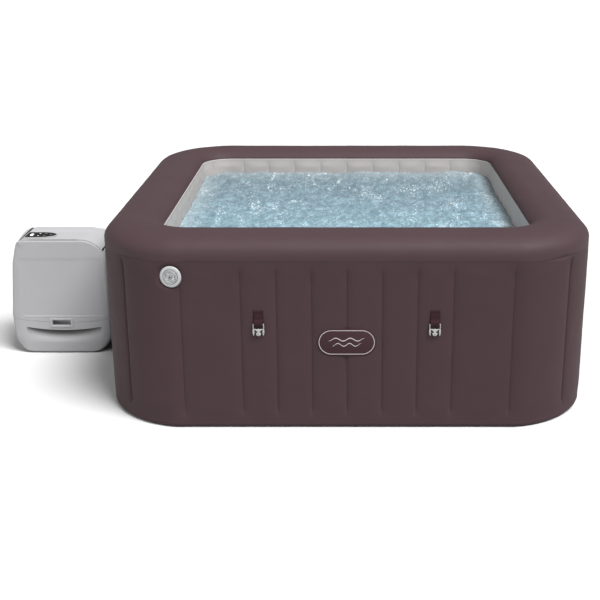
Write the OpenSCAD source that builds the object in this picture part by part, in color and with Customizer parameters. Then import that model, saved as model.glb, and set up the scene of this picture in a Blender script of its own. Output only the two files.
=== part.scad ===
// Square inflatable hot tub with its freestanding pump and heater unit.
// Millimetres, +Z up. The origin is the centre of the tub's base, on the floor.
// The pump stands on the -X side. The front of the tub faces -Y.

/* [Tub] */
// Outer half-width of the tub at the rim
tub_half = 1005; // [1000:1:1012]
// Overall height of the inflated rim
tub_h = 800; // [780:5:820]
// Half-width of the bathing well
well_half = 764; // [760:1:768]
// Thickness of the laminated PVC skins
skin_t = 2; // [1.5:0.5:2.5]
// Height at which the rim is welded to the outer wall
weld_z = 690; // [690:1:695]

/* [Jets and valves] */
// Height of the hydro jets above the floor
jet_z = 330; // [300:5:360]
// Distance of each jet from the middle of its wall
jet_x = 348; // [340:2:356]
// Angle round the corner at which the inflation valve sits
valve_a = 9.3; // [8:0.1:12]
// Height of the inflation valve's centre
valve_z = 644; // [638:1:645]
// Travel of the inflation valve's plunger
plunger_travel = 8; // [4:1:8]

/* [Cover clips] */
// Distance of each clip from the middle of the wall
clip_x = 347; // [335:1:360]
// Height of the bar that each clip hangs on
clip_z = 450; // [430:1:460]

/* [Pump unit] */
// Front-to-back position of the pump's front face
pump_front = -184; // [-188:1:-182]
// Wall thickness of the pump's plastic shells
shell_t = 3; // [2:0.5:3.5]
// Diameter of each control button
button_d = 14; // [10:1:16]
// Travel of each control button
button_travel = 1; // [0.5:0.1:1.5]

/* [Hidden] */
$fn = 64;
c0 = 622;                 // centre of every corner arc, in X and in Y
wall_o = 1000;            // outer face of the outer wall, at the crest of its panels
crest = 863;              // half-width at the top of the rim
side_l = 2 * c0;
seams = [-418, -278, -139, 0, 139, 278, 418];
noz_r = 29;
water_y = 95;
water_z = 210;
feed_z = 330;
air_z = 470;
split = -128;             // plane between the front and rear covers
pipe_ports = [[-water_y, water_z, 30, 25], [water_y, water_z, 30, 25], [0, feed_z, 30, 25], [0, air_z, 24, 19]];
bx = [-1454, -1454, -1426, -1426, -1399];   // control buttons
by = [-100, -60, -100, -60, -80];
console_z = 556;

// ---------- helpers ----------
// A rounded square of half-width w whose corner arcs are centred on c0.
module rsq(w) {
    r = w - c0;
    union() {
        square([2 * w, 2 * c0], center = true);
        square([2 * c0, 2 * w], center = true);
        for (x = [-c0, c0], y = [-c0, c0]) translate([x, y]) circle(r);
    }
}
// A flat rounded-square ring between two half-widths.
module ring_slab(wo, wi, z0, z1) {
    translate([0, 0, z0]) linear_extrude(z1 - z0) difference() { rsq(wo); rsq(wi); }
}
// Sweeps a profile, given as [half-width, height] points, round the tub.
module sweep(pts) {
    for (k = [0:3]) rotate([0, 0, 90 * k]) {
        translate([-c0, 0, 0]) rotate([90, 0, 90]) linear_extrude(side_l) mirror([1, 0]) polygon(pts);
        translate([-c0, -c0, 0]) rotate([0, 0, 180]) rotate_extrude(angle = 90)
            polygon([for (p = pts) [p[0] - c0, p[1]]]);
    }
}
// Puts children on wall k (0 front, 1 right, 2 back, 3 left), with local -Y outward.
module on_wall(k) rotate([0, 0, 90 * k]) children();
// A cylinder along +X from x0 to x1.
module cyl_x(x0, x1, r, y = 0, z = 0) translate([x0, y, z]) rotate([0, 90, 0]) cylinder(h = x1 - x0, r = r);
// A cylinder along -Y from y0 to y1, where y1 < y0.
module cyl_y(y0, y1, r, x = 0, z = 0) translate([x, y0, z]) rotate([90, 0, 0]) cylinder(h = y0 - y1, r = r);
module at_valve() translate([-c0, -c0, valve_z]) rotate([0, 0, -valve_a]) children();

// ---------- tub skins ----------
module outer_wall() color([0.30, 0.24, 0.25]) difference() {
    union() {
        ring_slab(wall_o, wall_o - skin_t, 30, weld_z);
        sweep(concat([for (a = [0:15:90]) [970 + 30 * sin(a), 30 - 30 * cos(a)]],
            [for (a = [90:-15:0]) [970 + (30 - skin_t) * sin(a), 30 - (30 - skin_t) * cos(a)]]));
    }
    at_valve() cyl_y(-c0 + 250, -c0 + 100, 31);
    at_valve() cyl_y(-360, -400, 31);
    for (p = pipe_ports) cyl_x(-1010, -990, p[2] + 0.5, p[0], p[1]);
    cyl_x(990, 1010, 24.5, 250, 75);
}
function arch(t, foot_o, foot_i) = [
    [foot_o, weld_z], [foot_o + 4, weld_z + 12],
    for (a = [0:7.5:90]) [crest + (tub_half - crest - t) * cos(a), tub_h - 85 + (85 - t) * sin(a)],
    for (a = [97.5:7.5:150]) [crest + (105 - t) * cos(a), tub_h - 70 + (70 - t) * sin(a)],
    [foot_i, tub_h - 47]];
module top_ring() color([0.33, 0.27, 0.28]) sweep(concat(
    arch(0, wall_o, well_half),
    [for (i = [len(arch(0, 0, 0)) - 1:-1:0]) arch(skin_t, wall_o - skin_t, well_half + skin_t)[i]]));
module inner_wall() color([0.72, 0.72, 0.72]) difference() {
    ring_slab(well_half + skin_t, well_half, 4, tub_h - 47);
    for (k = [0:2]) on_wall(k) for (x = [-jet_x, jet_x]) cyl_y(-740, -790, 35.5, x, jet_z);
    for (i = [0:1]) cyl_x(-780, -750, pipe_ports[i][2] + 0.5, pipe_ports[i][0], pipe_ports[i][1]);
    cyl_x(-780, -750, 12.5, 0, 19);
    cyl_x(750, 780, 24.5, 250, 75);
}
module baffle_strip(y0, y1) difference() {
    translate([-1, y1, 34]) cube([2, y0 - y1, weld_z - 8 - 34]);
    for (z = [520]) cyl_x(-5, 5, 25, (y0 + y1) / 2, z);
    cyl_x(-5, 5, 18, -850, jet_z);
}
// A flat ring under the rim and a fence of upright strips tie the two walls together.
module wall_baffles() color([0.80, 0.80, 0.78]) {
    ring_baffle();
    difference() { wall_strips(); at_valve() cyl_y(-320, -380, 46); }
}
module ring_baffle() difference() {
    ring_slab(wall_o - skin_t, well_half + skin_t, weld_z - 8, weld_z - 6);
    for (k = [0:3]) on_wall(k) for (x = [-500, -208, 208, 500]) translate([x, -885, weld_z - 20]) cylinder(h = 40, r = 15);
}
module wall_strips() for (k = [0:3]) on_wall(k) {
    for (x = seams) if (!(k == 3 && abs(x) < 150)) translate([x, 0, 0]) baffle_strip(-well_half - skin_t, -wall_o + skin_t);
    for (a = [5, 45, 85]) translate([-c0, -c0, 0]) rotate([0, 0, -a]) difference() {
        translate([-1, -(wall_o - skin_t - c0 - 0.05), 34]) cube([2, wall_o - well_half - 2 * skin_t - 0.1, weld_z - 8 - 34]);
        cyl_x(-5, 5, 25, -260, 520);
        cyl_x(-5, 5, 18, -228, jet_z);
    }
}
module base_sheet() color([0.22, 0.22, 0.23]) linear_extrude(skin_t) rsq(970);
module floor_liner() color([0.70, 0.71, 0.72]) translate([0, 0, 2]) linear_extrude(2) rsq(well_half + skin_t);

// ---------- air and jets ----------
module air_ring() color([0.78, 0.78, 0.79]) difference() {
    ring_slab(762, 722, 4, 34);
    ring_slab(759.5, 724.5, 6.5, 31.5);
    for (k = [0:3]) on_wall(k) for (i = [-5:5]) translate([i * 110, -742, 20]) cylinder(h = 30, r = 3);
    cyl_x(-770, -755, 12.5, 0, 19);
}
module jet_frame(i) {
    k = floor(i / 2);
    s = i % 2 == 0 ? -1 : 1;
    on_wall(k) translate([s * jet_x, -well_half, jet_z]) rotate([90, 0, 0]) children();
}
// Each housing's local +Z points out of the well, through the wall.
module jet_housing() difference() {
    union() {
        translate([0, 0, -7]) cylinder(h = 7, r = 50);
        translate([0, 0, -1]) cylinder(h = 53, r = 35);
    }
    translate([0, 0, -8]) cylinder(h = 30, r = noz_r + 0.6);
    translate([0, 0, 16]) cylinder(h = 30, r = 24);
    translate([0, 0, 40]) cylinder(h = 20, r = 13);
}
module jet_housings() color([0.62, 0.63, 0.65]) for (i = [0:5]) jet_frame(i) jet_housing();
module jet_nozzle(i) color([0.85, 0.85, 0.86]) jet_frame(i) difference() {
    union() {
        translate([0, 0, -12]) cylinder(h = 32, r = noz_r);
        translate([0, 0, -18]) cylinder(h = 8, r = 22);
    }
    translate([7, 0, -30]) cylinder(h = 60, r = 9);
    for (a = [0:60:300]) rotate([0, 0, a]) translate([23, 0, -20]) cylinder(h = 6, r = 3.4);
}
module ring_pipe(r, w) for (k = [0:3]) rotate([0, 0, 90 * k]) {
    translate([0, 0, jet_z]) cyl_x(-c0, c0, r, -w, 0);
    translate([-c0, -c0, jet_z]) rotate([0, 0, 180]) rotate_extrude(angle = 90) translate([w - c0, 0]) circle(r);
}
module jet_manifold() color([0.55, 0.56, 0.58]) difference() {
    union() {
        ring_pipe(16, 850);
        for (i = [0:5]) jet_frame(i) translate([0, 0, 52.2]) cylinder(h = 30, r = 14);
        cyl_x(-916, -850, 14, 0, jet_z);
    }
    ring_pipe(13, 850);
    for (i = [0:5]) jet_frame(i) translate([0, 0, 50]) cylinder(h = 36, r = 11);
    cyl_x(-920, -850, 11, 0, jet_z);
}

// ---------- inflation valve: local -Y points out of the wall, whose face is at -378 ----------
module air_valve_body() color([0.80, 0.81, 0.82]) at_valve() difference() {
    union() {
        cyl_y(-378, -383, 43);
        cyl_y(-352, -379, 30.5);
    }
    cyl_y(-350, -390, 25);
}
module air_valve_core() color([0.84, 0.85, 0.86]) at_valve() union() {
    difference() {
        cyl_y(-356, -386, 24.5);
        cyl_y(-350, -375, 20);
        cyl_y(-374, -390, 17.5);
    }
    difference() {
        union() {
            for (a = [0:45:135]) translate([0, -366, 0]) rotate([0, a, 0]) translate([-20.5, -3, -1.5]) cube([41, 6, 3]);
            cyl_y(-361, -371, 8);
        }
        cyl_y(-350, -390, 4.06);
    }
}
module air_valve_plunger() color([0.25, 0.25, 0.26]) at_valve() union() {
    cyl_y(-354, -384.5, 4);
    cyl_y(-384, -387, 7.5);
    cyl_y(-350, -354.5, 18);
}
// The spring is drawn at its closed length, round the stem.
module air_valve_spring() color([0.7, 0.7, 0.72]) at_valve() difference() {
    cyl_y(-371.2, -372.2 - (11.5 - plunger_travel), 6.5);
    cyl_y(-370, -390, 4.6);
}

// ---------- drain on the right-hand wall ----------
module drain_body() color([0.35, 0.35, 0.36]) difference() {
    union() {
        cyl_x(1000, 1005, 36, 250, 75);
        cyl_x(762, 1022, 24, 250, 75);
        cyl_x(757, 762, 34, 250, 75);
    }
    cyl_x(750, 1030, 18, 250, 75);
}
module drain_cap() color([0.30, 0.30, 0.31]) difference() {
    union() {
        cyl_x(1006, 1032, 30, 250, 75);
        for (a = [0:30:330]) translate([1008, 250, 75]) rotate([a, 0, 0]) translate([0, 29, -2]) cube([22, 3, 4]);
    }
    cyl_x(1000, 1026, 24.6, 250, 75);
}

// ---------- cover clips ----------
module clip_frame(i) {
    rotate([0, 0, i < 2 ? 0 : 180]) translate([(i % 2 == 0) == (i < 2) ? -clip_x : clip_x, -1007, clip_z]) children();
}
module strap_patches() color([0.22, 0.15, 0.17]) for (i = [0:3]) clip_frame(i) difference() {
    union() {
        translate([-20, 4.5, -4]) cube([40, 2.5, 60]);
        translate([-20, 1, 2]) cube([40, 3.6, 40]);
        rotate([0, 90, 0]) translate([0, 0, -18]) cylinder(h = 36, r = 4.6);
    }
    rotate([0, 90, 0]) translate([0, 0, -30]) cylinder(h = 60, r = 2.6);
}
module clip(i) color([0.83, 0.83, 0.84]) clip_frame(i) union() {
    rotate([0, 90, 0]) translate([0, 0, -23]) cylinder(h = 46, r = 2.2);
    for (s = [-1, 1]) translate([s * 24 - 2.5, -2.5, -20]) cube([5, 5, 23.5]);
    translate([-26.5, -2.5, -24]) cube([53, 5, 6]);
    translate([0, 2.5, 0]) rotate([90, 0, 0]) linear_extrude(5) {
        polygon([[-14, -23], [14, -23], [5, -35], [9, -42], [9, -49], [4, -54], [-4, -54], [-9, -49], [-9, -42], [-5, -35]]);
        for (s = [-1, 1]) polygon([[s * 26.5, -23], [s * 20, -23], [s * 18, -45], [s * 20, -53], [s * 24, -53], [s * 27, -41]]);
    }
}
module badge() color([0.26, 0.20, 0.21]) translate([0, -wall_o, 373]) rotate([90, 0, 0]) linear_extrude(1.5) union() {
    square([120, 112], center = true);
    for (x = [-60, 60]) translate([x, 0]) circle(56);
}

// ---------- connections between tub and pump ----------
module wall_fitting(y, z, r, ri, through) difference() {
    union() {
        cyl_x(-1006, -1000, r + 16, y, z);
        cyl_x(-1044, through ? -764 : (z == air_z ? -960 : -917), r, y, z);
        cyl_x(-1050, -1043, r + 6, y, z);
        if (through) cyl_x(-764, -758, r + 14, y, z);
    }
    cyl_x(-1060, -700, ri, y, z);
}
module wall_fittings() color([0.66, 0.67, 0.69]) {
    return_screen();
    for (i = [0:1]) wall_fitting(pipe_ports[i][0], pipe_ports[i][1], 30, 25, true);
    wall_fitting(0, feed_z, 30, 25, false);
    wall_fitting(0, air_z, 24, 19, false);
}
module union_nut(i) color([0.52, 0.53, 0.55]) {
    p = pipe_ports[i];
    difference() {
        union() {
            cyl_x(-1078, -1042, p[2] + 13, p[0], p[1]);
            for (a = [0:30:330]) translate([-1074, p[0], p[1]]) rotate([a, 0, 0]) translate([0, p[2] + 12, -3]) cube([28, 4, 6]);
        }
        cyl_x(-1066, -1051, p[2] + 9, p[0], p[1]);
        cyl_x(-1070, -1050.5, p[2] + 7, p[0], p[1]);
        cyl_x(-1051, -1040, p[2] + 7, p[0], p[1]);
        cyl_x(-1080, -1060, p[2] + 1, p[0], p[1]);
    }
}
module seals() color([0.10, 0.10, 0.11]) {
    for (p = pipe_ports) translate([-1052.5, p[0], p[1]]) rotate([0, 90, 0])
        rotate_extrude() translate([p[3] + 3.5, 0]) circle(2.4, $fn = 32);
    at_valve() difference() { cyl_y(-353.5, -356, 24.4); cyl_y(-350, -360, 18.6); }
}
// Each coupling pipe runs from its union flange into the casing, with the run that feeds it.
module coupling_pipe(i, x0) {
    p = pipe_ports[i];
    cyl_x(x0, -1055, p[2], p[0], p[1]);
    cyl_x(-1062, -1055, p[2] + 6, p[0], p[1]);
    cyl_x(i == 3 ? -1156 : -1138, i == 3 ? -1147 : -1129, p[2] + 8, p[0], p[1]);
}
module coupling_bore(i, x0) cyl_x(x0 + 4, -1050, pipe_ports[i][3], pipe_ports[i][0], pipe_ports[i][1]);
module pump_pipes() color([0.60, 0.61, 0.63]) {
    difference() {
        union() { coupling_pipe(0, -1204); translate([-1180, -85, 178.2]) cylinder(h = 30, r = 20); }
        coupling_bore(0, -1204);
        translate([-1180, -85, 170]) cylinder(h = 38, r = 16);
    }
    difference() {
        union() { coupling_pipe(1, -1258); cyl_y(95, 7.7, 13, -1240, 240); }
        coupling_bore(1, -1258);
        cyl_y(95, 5, 10, -1240, 240);
    }
    difference() {
        union() { coupling_pipe(2, -1204); translate([-1180, 27, 188.2]) cylinder(h = 140, r = 16); }
        coupling_bore(2, -1204);
        translate([-1180, 27, 180]) cylinder(h = 146, r = 12);
    }
    difference() {
        union() { coupling_pipe(3, -1196); cyl_x(-1377.5, -1160, 15, 0, 380); translate([-1176, 0, 380]) cylinder(h = 90, r = 15); }
        coupling_bore(3, -1196);
        cyl_x(-1380, -1176, 12, 0, 380);
        translate([-1176, 0, 380]) cylinder(h = 90, r = 12);
    }
}

// ---------- filter and screen on the well's left wall ----------
module filter_housing() color([0.74, 0.75, 0.77]) difference() {
    cyl_x(-757.5, -668, 60, -water_y, water_z);
    cyl_x(-753, -660, 57, -water_y, water_z);
    cyl_x(-760, -700, 24, -water_y, water_z);
    for (a = [0:45:315]) translate([-745, -water_y, water_z]) rotate([a, 0, 0]) translate([0, 50, -6]) cube([64, 20, 12]);
}
module filter_cartridge() color([0.88, 0.89, 0.90]) difference() {
    union() {
        cyl_x(-752.5, -747, 52, -water_y, water_z);
        cyl_x(-680, -674.5, 52, -water_y, water_z);
        translate([-748, -water_y, water_z]) rotate([90, 0, 90]) linear_extrude(69)
            polygon([for (i = [0:71]) let (r = i % 2 == 0 ? 51 : 38) [r * cos(5 * i), r * sin(5 * i)]]);
    }
    cyl_x(-760, -660, 24, -water_y, water_z);
}
module filter_cap() color([0.74, 0.75, 0.77]) union() {
    cyl_x(-667.5, -662, 61, -water_y, water_z);
    difference() {
        cyl_x(-674, -667, 56.4, -water_y, water_z);
        cyl_x(-680, -660, 53, -water_y, water_z);
    }
    translate([-662.5, -water_y - 30, water_z - 5]) cube([14, 60, 10]);
}
module return_screen() difference() {
    cyl_x(-757.9, -748, 42, water_y, water_z);
    cyl_x(-760, -751, 38, water_y, water_z);
    for (i = [-2:2]) translate([-755, water_y - 28, water_z + 11 * i - 2.5]) cube([20, 56, 5]);
}

// ---------- pump casing ----------
// The casing seen from the front, drawn in by d.
module outline(d) hull() {
    translate([-1505, 515]) circle(45 - d);
    translate([-1478, 430]) circle(95 - d);
    translate([-1485, 190]) circle(110 - d);
    translate([-1500, 94]) circle(90 - d);
    translate([-1222, 104]) circle(100 - d);
    translate([-1180, 200]) circle(60 - d);
    translate([-1240, 445]) circle(115 - d);
}
// The casing seen from the side, drawn in by d: front edge, then a deep curve at the top of the back.
module side_outline(d) hull() {
    translate([pump_front + 12, 16]) circle(12 - d, $fn = 24);
    translate([pump_front + 14, 560 - 14]) circle(14 - d, $fn = 24);
    translate([40, 560 - 120]) circle(120 - d);
    translate([120, 44]) circle(40 - d);
}
module casing(d) intersection() {
    translate([0, 300, 0]) rotate([90, 0, 0]) linear_extrude(600) outline(d);
    translate([-1700, 0, 0]) rotate([90, 0, 90]) linear_extrude(700) side_outline(d);
}
module console_zone(g) translate([-1526 + g, pump_front + 16 + g, 500 + 4 * g]) cube([500, 94 - pump_front - 2 * g, 100]);
module split_y(front) translate([-1700, front ? -400 : split, -10]) cube([700, front ? 399.7 + split : 500, 700]);
module screw_holes() for (x = [-1480, -1360, -1240], y = [-143, 95]) translate([x, y, -1]) cylinder(h = 30, r = 2.2);
module cover_screws() color([0.6, 0.6, 0.62]) for (x = [-1480, -1360, -1240], y = [-143, 95]) translate([x, y, 0]) {
    translate([0, 0, 1.6]) cylinder(h = 2.4, r = 4);
    translate([0, 0, 3.9]) cylinder(h = 14, r = 2);
}
function smile(z0, z1, x0, x1, n) = [for (i = [0:n]) let (u = i / n) [x0 + (x1 - x0) * u, z0 + (z1 - z0) * 4 * u * (1 - u)]];
grip_pts = concat(smile(130, 112, -1526, -1166, 12), [[-1190, 74], [-1230, 54], [-1300, 46], [-1392, 46], [-1462, 54], [-1502, 74]]);
module front_cover() color([0.72, 0.72, 0.73]) difference() {
    intersection() {
        difference() { casing(0); casing(shell_t); }
        split_y(true);
    }
    console_zone(0);
    translate([0, pump_front + 20, 0]) rotate([90, 0, 0]) linear_extrude(40) polygon(grip_pts);
    translate([-1403, pump_front - 10, 138]) cube([95, 30, 30]);
    screw_holes();
}
module rear_cover() color([0.70, 0.70, 0.71]) difference() {
    intersection() {
        difference() { casing(0); casing(shell_t); }
        split_y(false);
    }
    console_zone(0);
    for (p = pipe_ports) cyl_x(-1165, -1100, p[2] + 0.6, p[0], p[1]);
    cyl_y(200, 120, 10.7, -1440, 90);
    for (i = [-5:5]) translate([-1340 + 14 * i, 120, 300]) cube([6, 60, 80]);
    screw_holes();
}
module top_console() color([0.76, 0.76, 0.77]) difference() {
    intersection() {
        difference() { casing(4); casing(4 + shell_t); }
        console_zone(0.5);
    }
    for (i = [0:4]) translate([bx[i], by[i], 540]) cylinder(h = 30, r = button_d / 2 + 0.4);
    translate([-1506, -108, 540]) cube([30, 56, 30]);
}
module grip_inserts() color([0.58, 0.58, 0.59]) {
    difference() {
        translate([-1532, pump_front + 3.2, 40]) cube([372, 27, 96]);
        translate([-1529, pump_front, 43]) cube([366, 27, 90]);
    }
    difference() {
        translate([-1408, pump_front + 3.2, 137.2]) cube([105, 14, 36]);
        translate([-1403, pump_front, 140.2]) cube([95, 14, 28]);
    }
}
module panel_glass() color([0.05, 0.05, 0.06]) difference() {
    translate([0, 0, console_z + 0.1]) linear_extrude(3) polygon(concat(
        [[-1512, -36], [-1512, -124]],
        [for (a = [-90:10:90]) [-1450 + 76 * cos(a), -80 + 44 * sin(a)]]));
    for (i = [0:4]) translate([bx[i], by[i], 540]) cylinder(h = 40, r = button_d / 2 + 0.4);
}
module button(i) color([0.14, 0.14, 0.15]) translate([bx[i], by[i], 0]) union() {
    translate([0, 0, 545.5]) cylinder(h = 14.2, r = button_d / 2);
    translate([0, 0, 545.5]) cylinder(h = 3, r = button_d / 2 + 2);
}
module control_board() color([0.10, 0.34, 0.18]) {
    translate([-1512, -140, 522]) cube([140, 120, 3]);
    for (i = [0:4]) translate([bx[i] - 5, by[i] - 5, 525]) cube([10, 10, 18]);
    translate([-1506, -108, 525]) cube([30, 56, 30.5]);
}
module pump_feet() color([0.12, 0.12, 0.12]) for (x = [-1450, -1270], y = [-125, 70]) translate([x, y, 0]) cylinder(h = 4, r = 16);

// ---------- inside the pump ----------
module base_tray() color([0.42, 0.43, 0.45]) difference() {
    union() {
        translate([-1490, -150, 7]) cube([265, 260, 5]);
        for (y = [-75, 70]) translate([-1340, y - 30, 11.5]) cube([90, 60, 25.5]);
    }
    screw_holes();
}
module pump_case(y, z, rv, rm, py, pr) difference() {
    union() {
        cyl_x(-1206, -1152, rv, y, z);
        cyl_x(-1360, -1205, rm, y, z);
        translate([-1340, y - 30, 37]) cube([90, 60, z - 37]);
        translate([-1180, py, z]) cylinder(h = 78, r = pr);
    }
    cyl_x(-1201, -1157, rv - 5, y, z);
    cyl_x(-1354, -1215, rm - 5, y, z);
    cyl_x(-1230, -1190, 5.05, y, z);
    translate([-1180, py, z]) cylinder(h = 80, r = pr - 4);
}
module rotor(y, z, rv, rm) {
    cyl_x(-1340, -1175, 5, y, z);
    cyl_x(-1330, -1235, rm - 12, y, z);
    cyl_x(-1192, -1188, rv - 12, y, z);
    for (a = [0:60:300]) translate([-1188.5, y, z]) rotate([a, 0, 0]) translate([0, 10, -1.5]) cube([13, rv - 24, 3]);
}
module filter_pump() color([0.30, 0.31, 0.33]) pump_case(-75, 100, 52, 42, -85, 20);
module filter_rotor() color([0.75, 0.6, 0.3]) rotor(-75, 100, 52, 42);
module jet_pump() color([0.30, 0.31, 0.33]) pump_case(70, 110, 62, 52, 27, 16);
module jet_rotor() color([0.75, 0.6, 0.3]) rotor(70, 110, 62, 52);
module blower_case() color([0.36, 0.37, 0.39]) translate([-1440, 0, 0]) difference() {
    union() {
        translate([0, 0, 340]) cylinder(h = 80, r = 62);
        translate([0, 0, 270]) cylinder(h = 71, r = 34);
    }
    translate([0, 0, 352]) cylinder(h = 63, r = 58);
    translate([0, 0, 275]) cylinder(h = 66, r = 30);
    translate([0, 0, 330]) cylinder(h = 40, r = 4.05);
    translate([0, 0, 400]) cylinder(h = 40, r = 22);
}
module blower_fan() color([0.7, 0.7, 0.72]) translate([-1440, 0, 0]) {
    translate([0, 0, 285]) cylinder(h = 80, r = 4);
    translate([0, 0, 290]) cylinder(h = 40, r = 24);
    difference() { translate([0, 0, 358]) cylinder(h = 4, r = 52); }
    for (a = [0:20:340]) rotate([0, 0, a]) translate([34, -1, 361.5]) cube([16, 2, 38]);
}
module heater_tube() color([0.78, 0.79, 0.80]) {
    difference() {
        union() {
            cyl_x(-1380, -1180, 26, -20, 250);
            cyl_y(7.5, -20, 13, -1240, 240);
        }
        cyl_x(-1376, -1184, 23, -20, 250);
        cyl_y(10, -20, 10, -1240, 240);
    }
    cyl_x(-1370, -1190, 5, -20, 250);
}
module power_box() color([0.15, 0.15, 0.16]) translate([-1540, -90, 150]) cube([90, 150, 110]);
module cable_gland() color([0.12, 0.12, 0.13]) difference() {
    union() {
        cyl_y(172, 144, 10.5, -1440, 90);
        cyl_y(163, 160, 15, -1440, 90);
        cyl_y(157, 150, 15, -1440, 90);
    }
    cyl_y(180, 140, 4.5, -1440, 90);
}

outer_wall();
top_ring();
inner_wall();
wall_baffles();
base_sheet();
floor_liner();
air_ring();
jet_housings();
jet_manifold();
jet_nozzle(0);  // jet_nozzle_1
jet_nozzle(1);  // jet_nozzle_2
jet_nozzle(2);  // jet_nozzle_3
jet_nozzle(3);  // jet_nozzle_4
jet_nozzle(4);  // jet_nozzle_5
jet_nozzle(5);  // jet_nozzle_6
air_valve_body();
air_valve_core();
air_valve_plunger();
air_valve_spring();
drain_body();
drain_cap();
strap_patches();
clip(0);  // clip_front_left
clip(1);  // clip_front_right
clip(2);  // clip_back_left
clip(3);  // clip_back_right
badge();
wall_fittings();
filter_housing();
filter_cartridge();
filter_cap();
union_nut(0);  // union_nut_inlet
union_nut(1);  // union_nut_return
union_nut(2);  // union_nut_jets
union_nut(3);  // union_nut_air
seals();
pump_feet();
cover_screws();
base_tray();
front_cover();
rear_cover();
top_console();
grip_inserts();
panel_glass();
button(0);  // button_1
button(1);  // button_2
button(2);  // button_3
button(3);  // button_4
button(4);  // button_5
control_board();
power_box();
cable_gland();
filter_pump();
filter_rotor();
jet_pump();
jet_rotor();
blower_case();
blower_fan();
heater_tube();
pump_pipes();
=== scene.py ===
import bpy, math
import numpy as np
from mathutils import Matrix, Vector


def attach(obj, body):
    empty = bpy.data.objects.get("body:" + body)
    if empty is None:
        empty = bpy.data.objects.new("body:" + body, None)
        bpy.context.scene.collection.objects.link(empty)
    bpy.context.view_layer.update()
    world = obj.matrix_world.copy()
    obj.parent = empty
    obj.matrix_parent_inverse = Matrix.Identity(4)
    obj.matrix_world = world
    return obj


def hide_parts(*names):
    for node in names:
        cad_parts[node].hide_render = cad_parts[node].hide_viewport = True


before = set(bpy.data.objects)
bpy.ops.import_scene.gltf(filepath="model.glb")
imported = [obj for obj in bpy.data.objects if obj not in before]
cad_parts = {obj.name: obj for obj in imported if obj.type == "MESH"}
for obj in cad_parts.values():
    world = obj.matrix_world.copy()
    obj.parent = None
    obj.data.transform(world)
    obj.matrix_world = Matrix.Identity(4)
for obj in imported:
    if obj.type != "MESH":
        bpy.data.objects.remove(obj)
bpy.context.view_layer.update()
ROOT = "tub_and_pump"
scene = bpy.context.scene

# ------------------------------------------------------------------ camera
cam_data = bpy.data.cameras.new("camera")
cam = bpy.data.objects.new("camera", cam_data)
scene.collection.objects.link(cam)
cam.location = (0.0, -4.8854, 1.8907)
cam.rotation_euler = (math.radians(90.0 - 18.0426), 0.0, 0.0)
cam_data.sensor_width = 36.0
cam_data.lens = 1053.31 * 36.0 / 600.0
cam_data.shift_x = -(346.7 - 300.0) / 600.0
cam_data.shift_y = (281.68 - 300.0) / 600.0
scene.camera = cam
scene.view_settings.view_transform = "Standard"
scene.view_settings.look = "None"
scene.view_settings.exposure = 0.0
scene.view_settings.gamma = 1.0


# ------------------------------------------------------------------ small helpers
def srgb(r, g, b):
    out = []
    for c in (r, g, b):
        c = c / 255.0
        out.append(c / 12.92 if c <= 0.04045 else ((c + 0.055) / 1.055) ** 2.4)
    return (out[0], out[1], out[2], 1.0)


def sstep(a, b, x):
    t = np.clip((np.asarray(x, float) - a) / (b - a), 0.0, 1.0)
    return t * t * (3.0 - 2.0 * t)


def _hash_grid(ix, iy, seed):
    h = (ix * 374761393 + iy * 668265263 + seed * 2147483647) & 0xFFFFFFFF
    h = ((h ^ (h >> 13)) * 1274126177) & 0xFFFFFFFF
    h = h ^ (h >> 16)
    return (h & 0xFFFF) / 65535.0 * 2.0 * math.pi


def pnoise(x, y, seed=0):
    """Gradient noise in about -1..1."""
    x = np.asarray(x, float); y = np.asarray(y, float)
    ix = np.floor(x).astype(np.int64); iy = np.floor(y).astype(np.int64)
    fx = x - ix; fy = y - iy
    u = fx * fx * fx * (fx * (fx * 6 - 15) + 10); v = fy * fy * fy * (fy * (fy * 6 - 15) + 10)
    out = 0.0
    for dx in (0, 1):
        for dy in (0, 1):
            a = _hash_grid(ix + dx, iy + dy, seed)
            g = np.cos(a) * (fx - dx) + np.sin(a) * (fy - dy)
            out = out + g * (u if dx else 1 - u) * (v if dy else 1 - v)
    return out * 1.5


def link(obj):
    scene.collection.objects.link(obj)
    return obj


def mesh_obj(name, verts, faces, mat, body=ROOT, smooth=True, replaces=()):
    me = bpy.data.meshes.new(name)
    me.from_pydata([tuple(map(float, v)) for v in verts], [], [tuple(map(int, f)) for f in faces])
    me.validate()
    me.update()
    if smooth:
        me.polygons.foreach_set("use_smooth", [True] * len(me.polygons))
    ob = link(bpy.data.objects.new(name, me))
    for m in (mat if isinstance(mat, (list, tuple)) else [mat]):
        me.materials.append(m)
    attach(ob, body)
    if replaces:
        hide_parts(*replaces)
    return ob


def grid_faces(n, m, close_u=False, close_v=False, off=0, flip=False):
    """Quads of an n by m grid stored row by row (u is the row index)."""
    iu = np.arange(n if close_u else n - 1); iv = np.arange(m if close_v else m - 1)
    U, V = np.meshgrid(iu, iv, indexing="ij")
    U2 = (U + 1) % n; V2 = (V + 1) % m
    a = U * m + V; b = U2 * m + V; c = U2 * m + V2; d = U * m + V2
    q = np.stack([a, b, c, d] if not flip else [a, d, c, b], axis=-1).reshape(-1, 4) + off
    return q


def fix_normals(ob):
    import bmesh
    bm = bmesh.new(); bm.from_mesh(ob.data)
    bmesh.ops.recalc_face_normals(bm, faces=bm.faces)
    bm.to_mesh(ob.data); bm.free()


# ------------------------------------------------------------------ materials
def new_mat(name):
    m = bpy.data.materials.new(name)
    m.use_nodes = True
    nt = m.node_tree
    for n in list(nt.nodes):
        if n.type != "OUTPUT_MATERIAL" and n.type != "BSDF_PRINCIPLED":
            nt.nodes.remove(n)
    p = [n for n in nt.nodes if n.type == "BSDF_PRINCIPLED"][0]
    return m, nt, p


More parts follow.
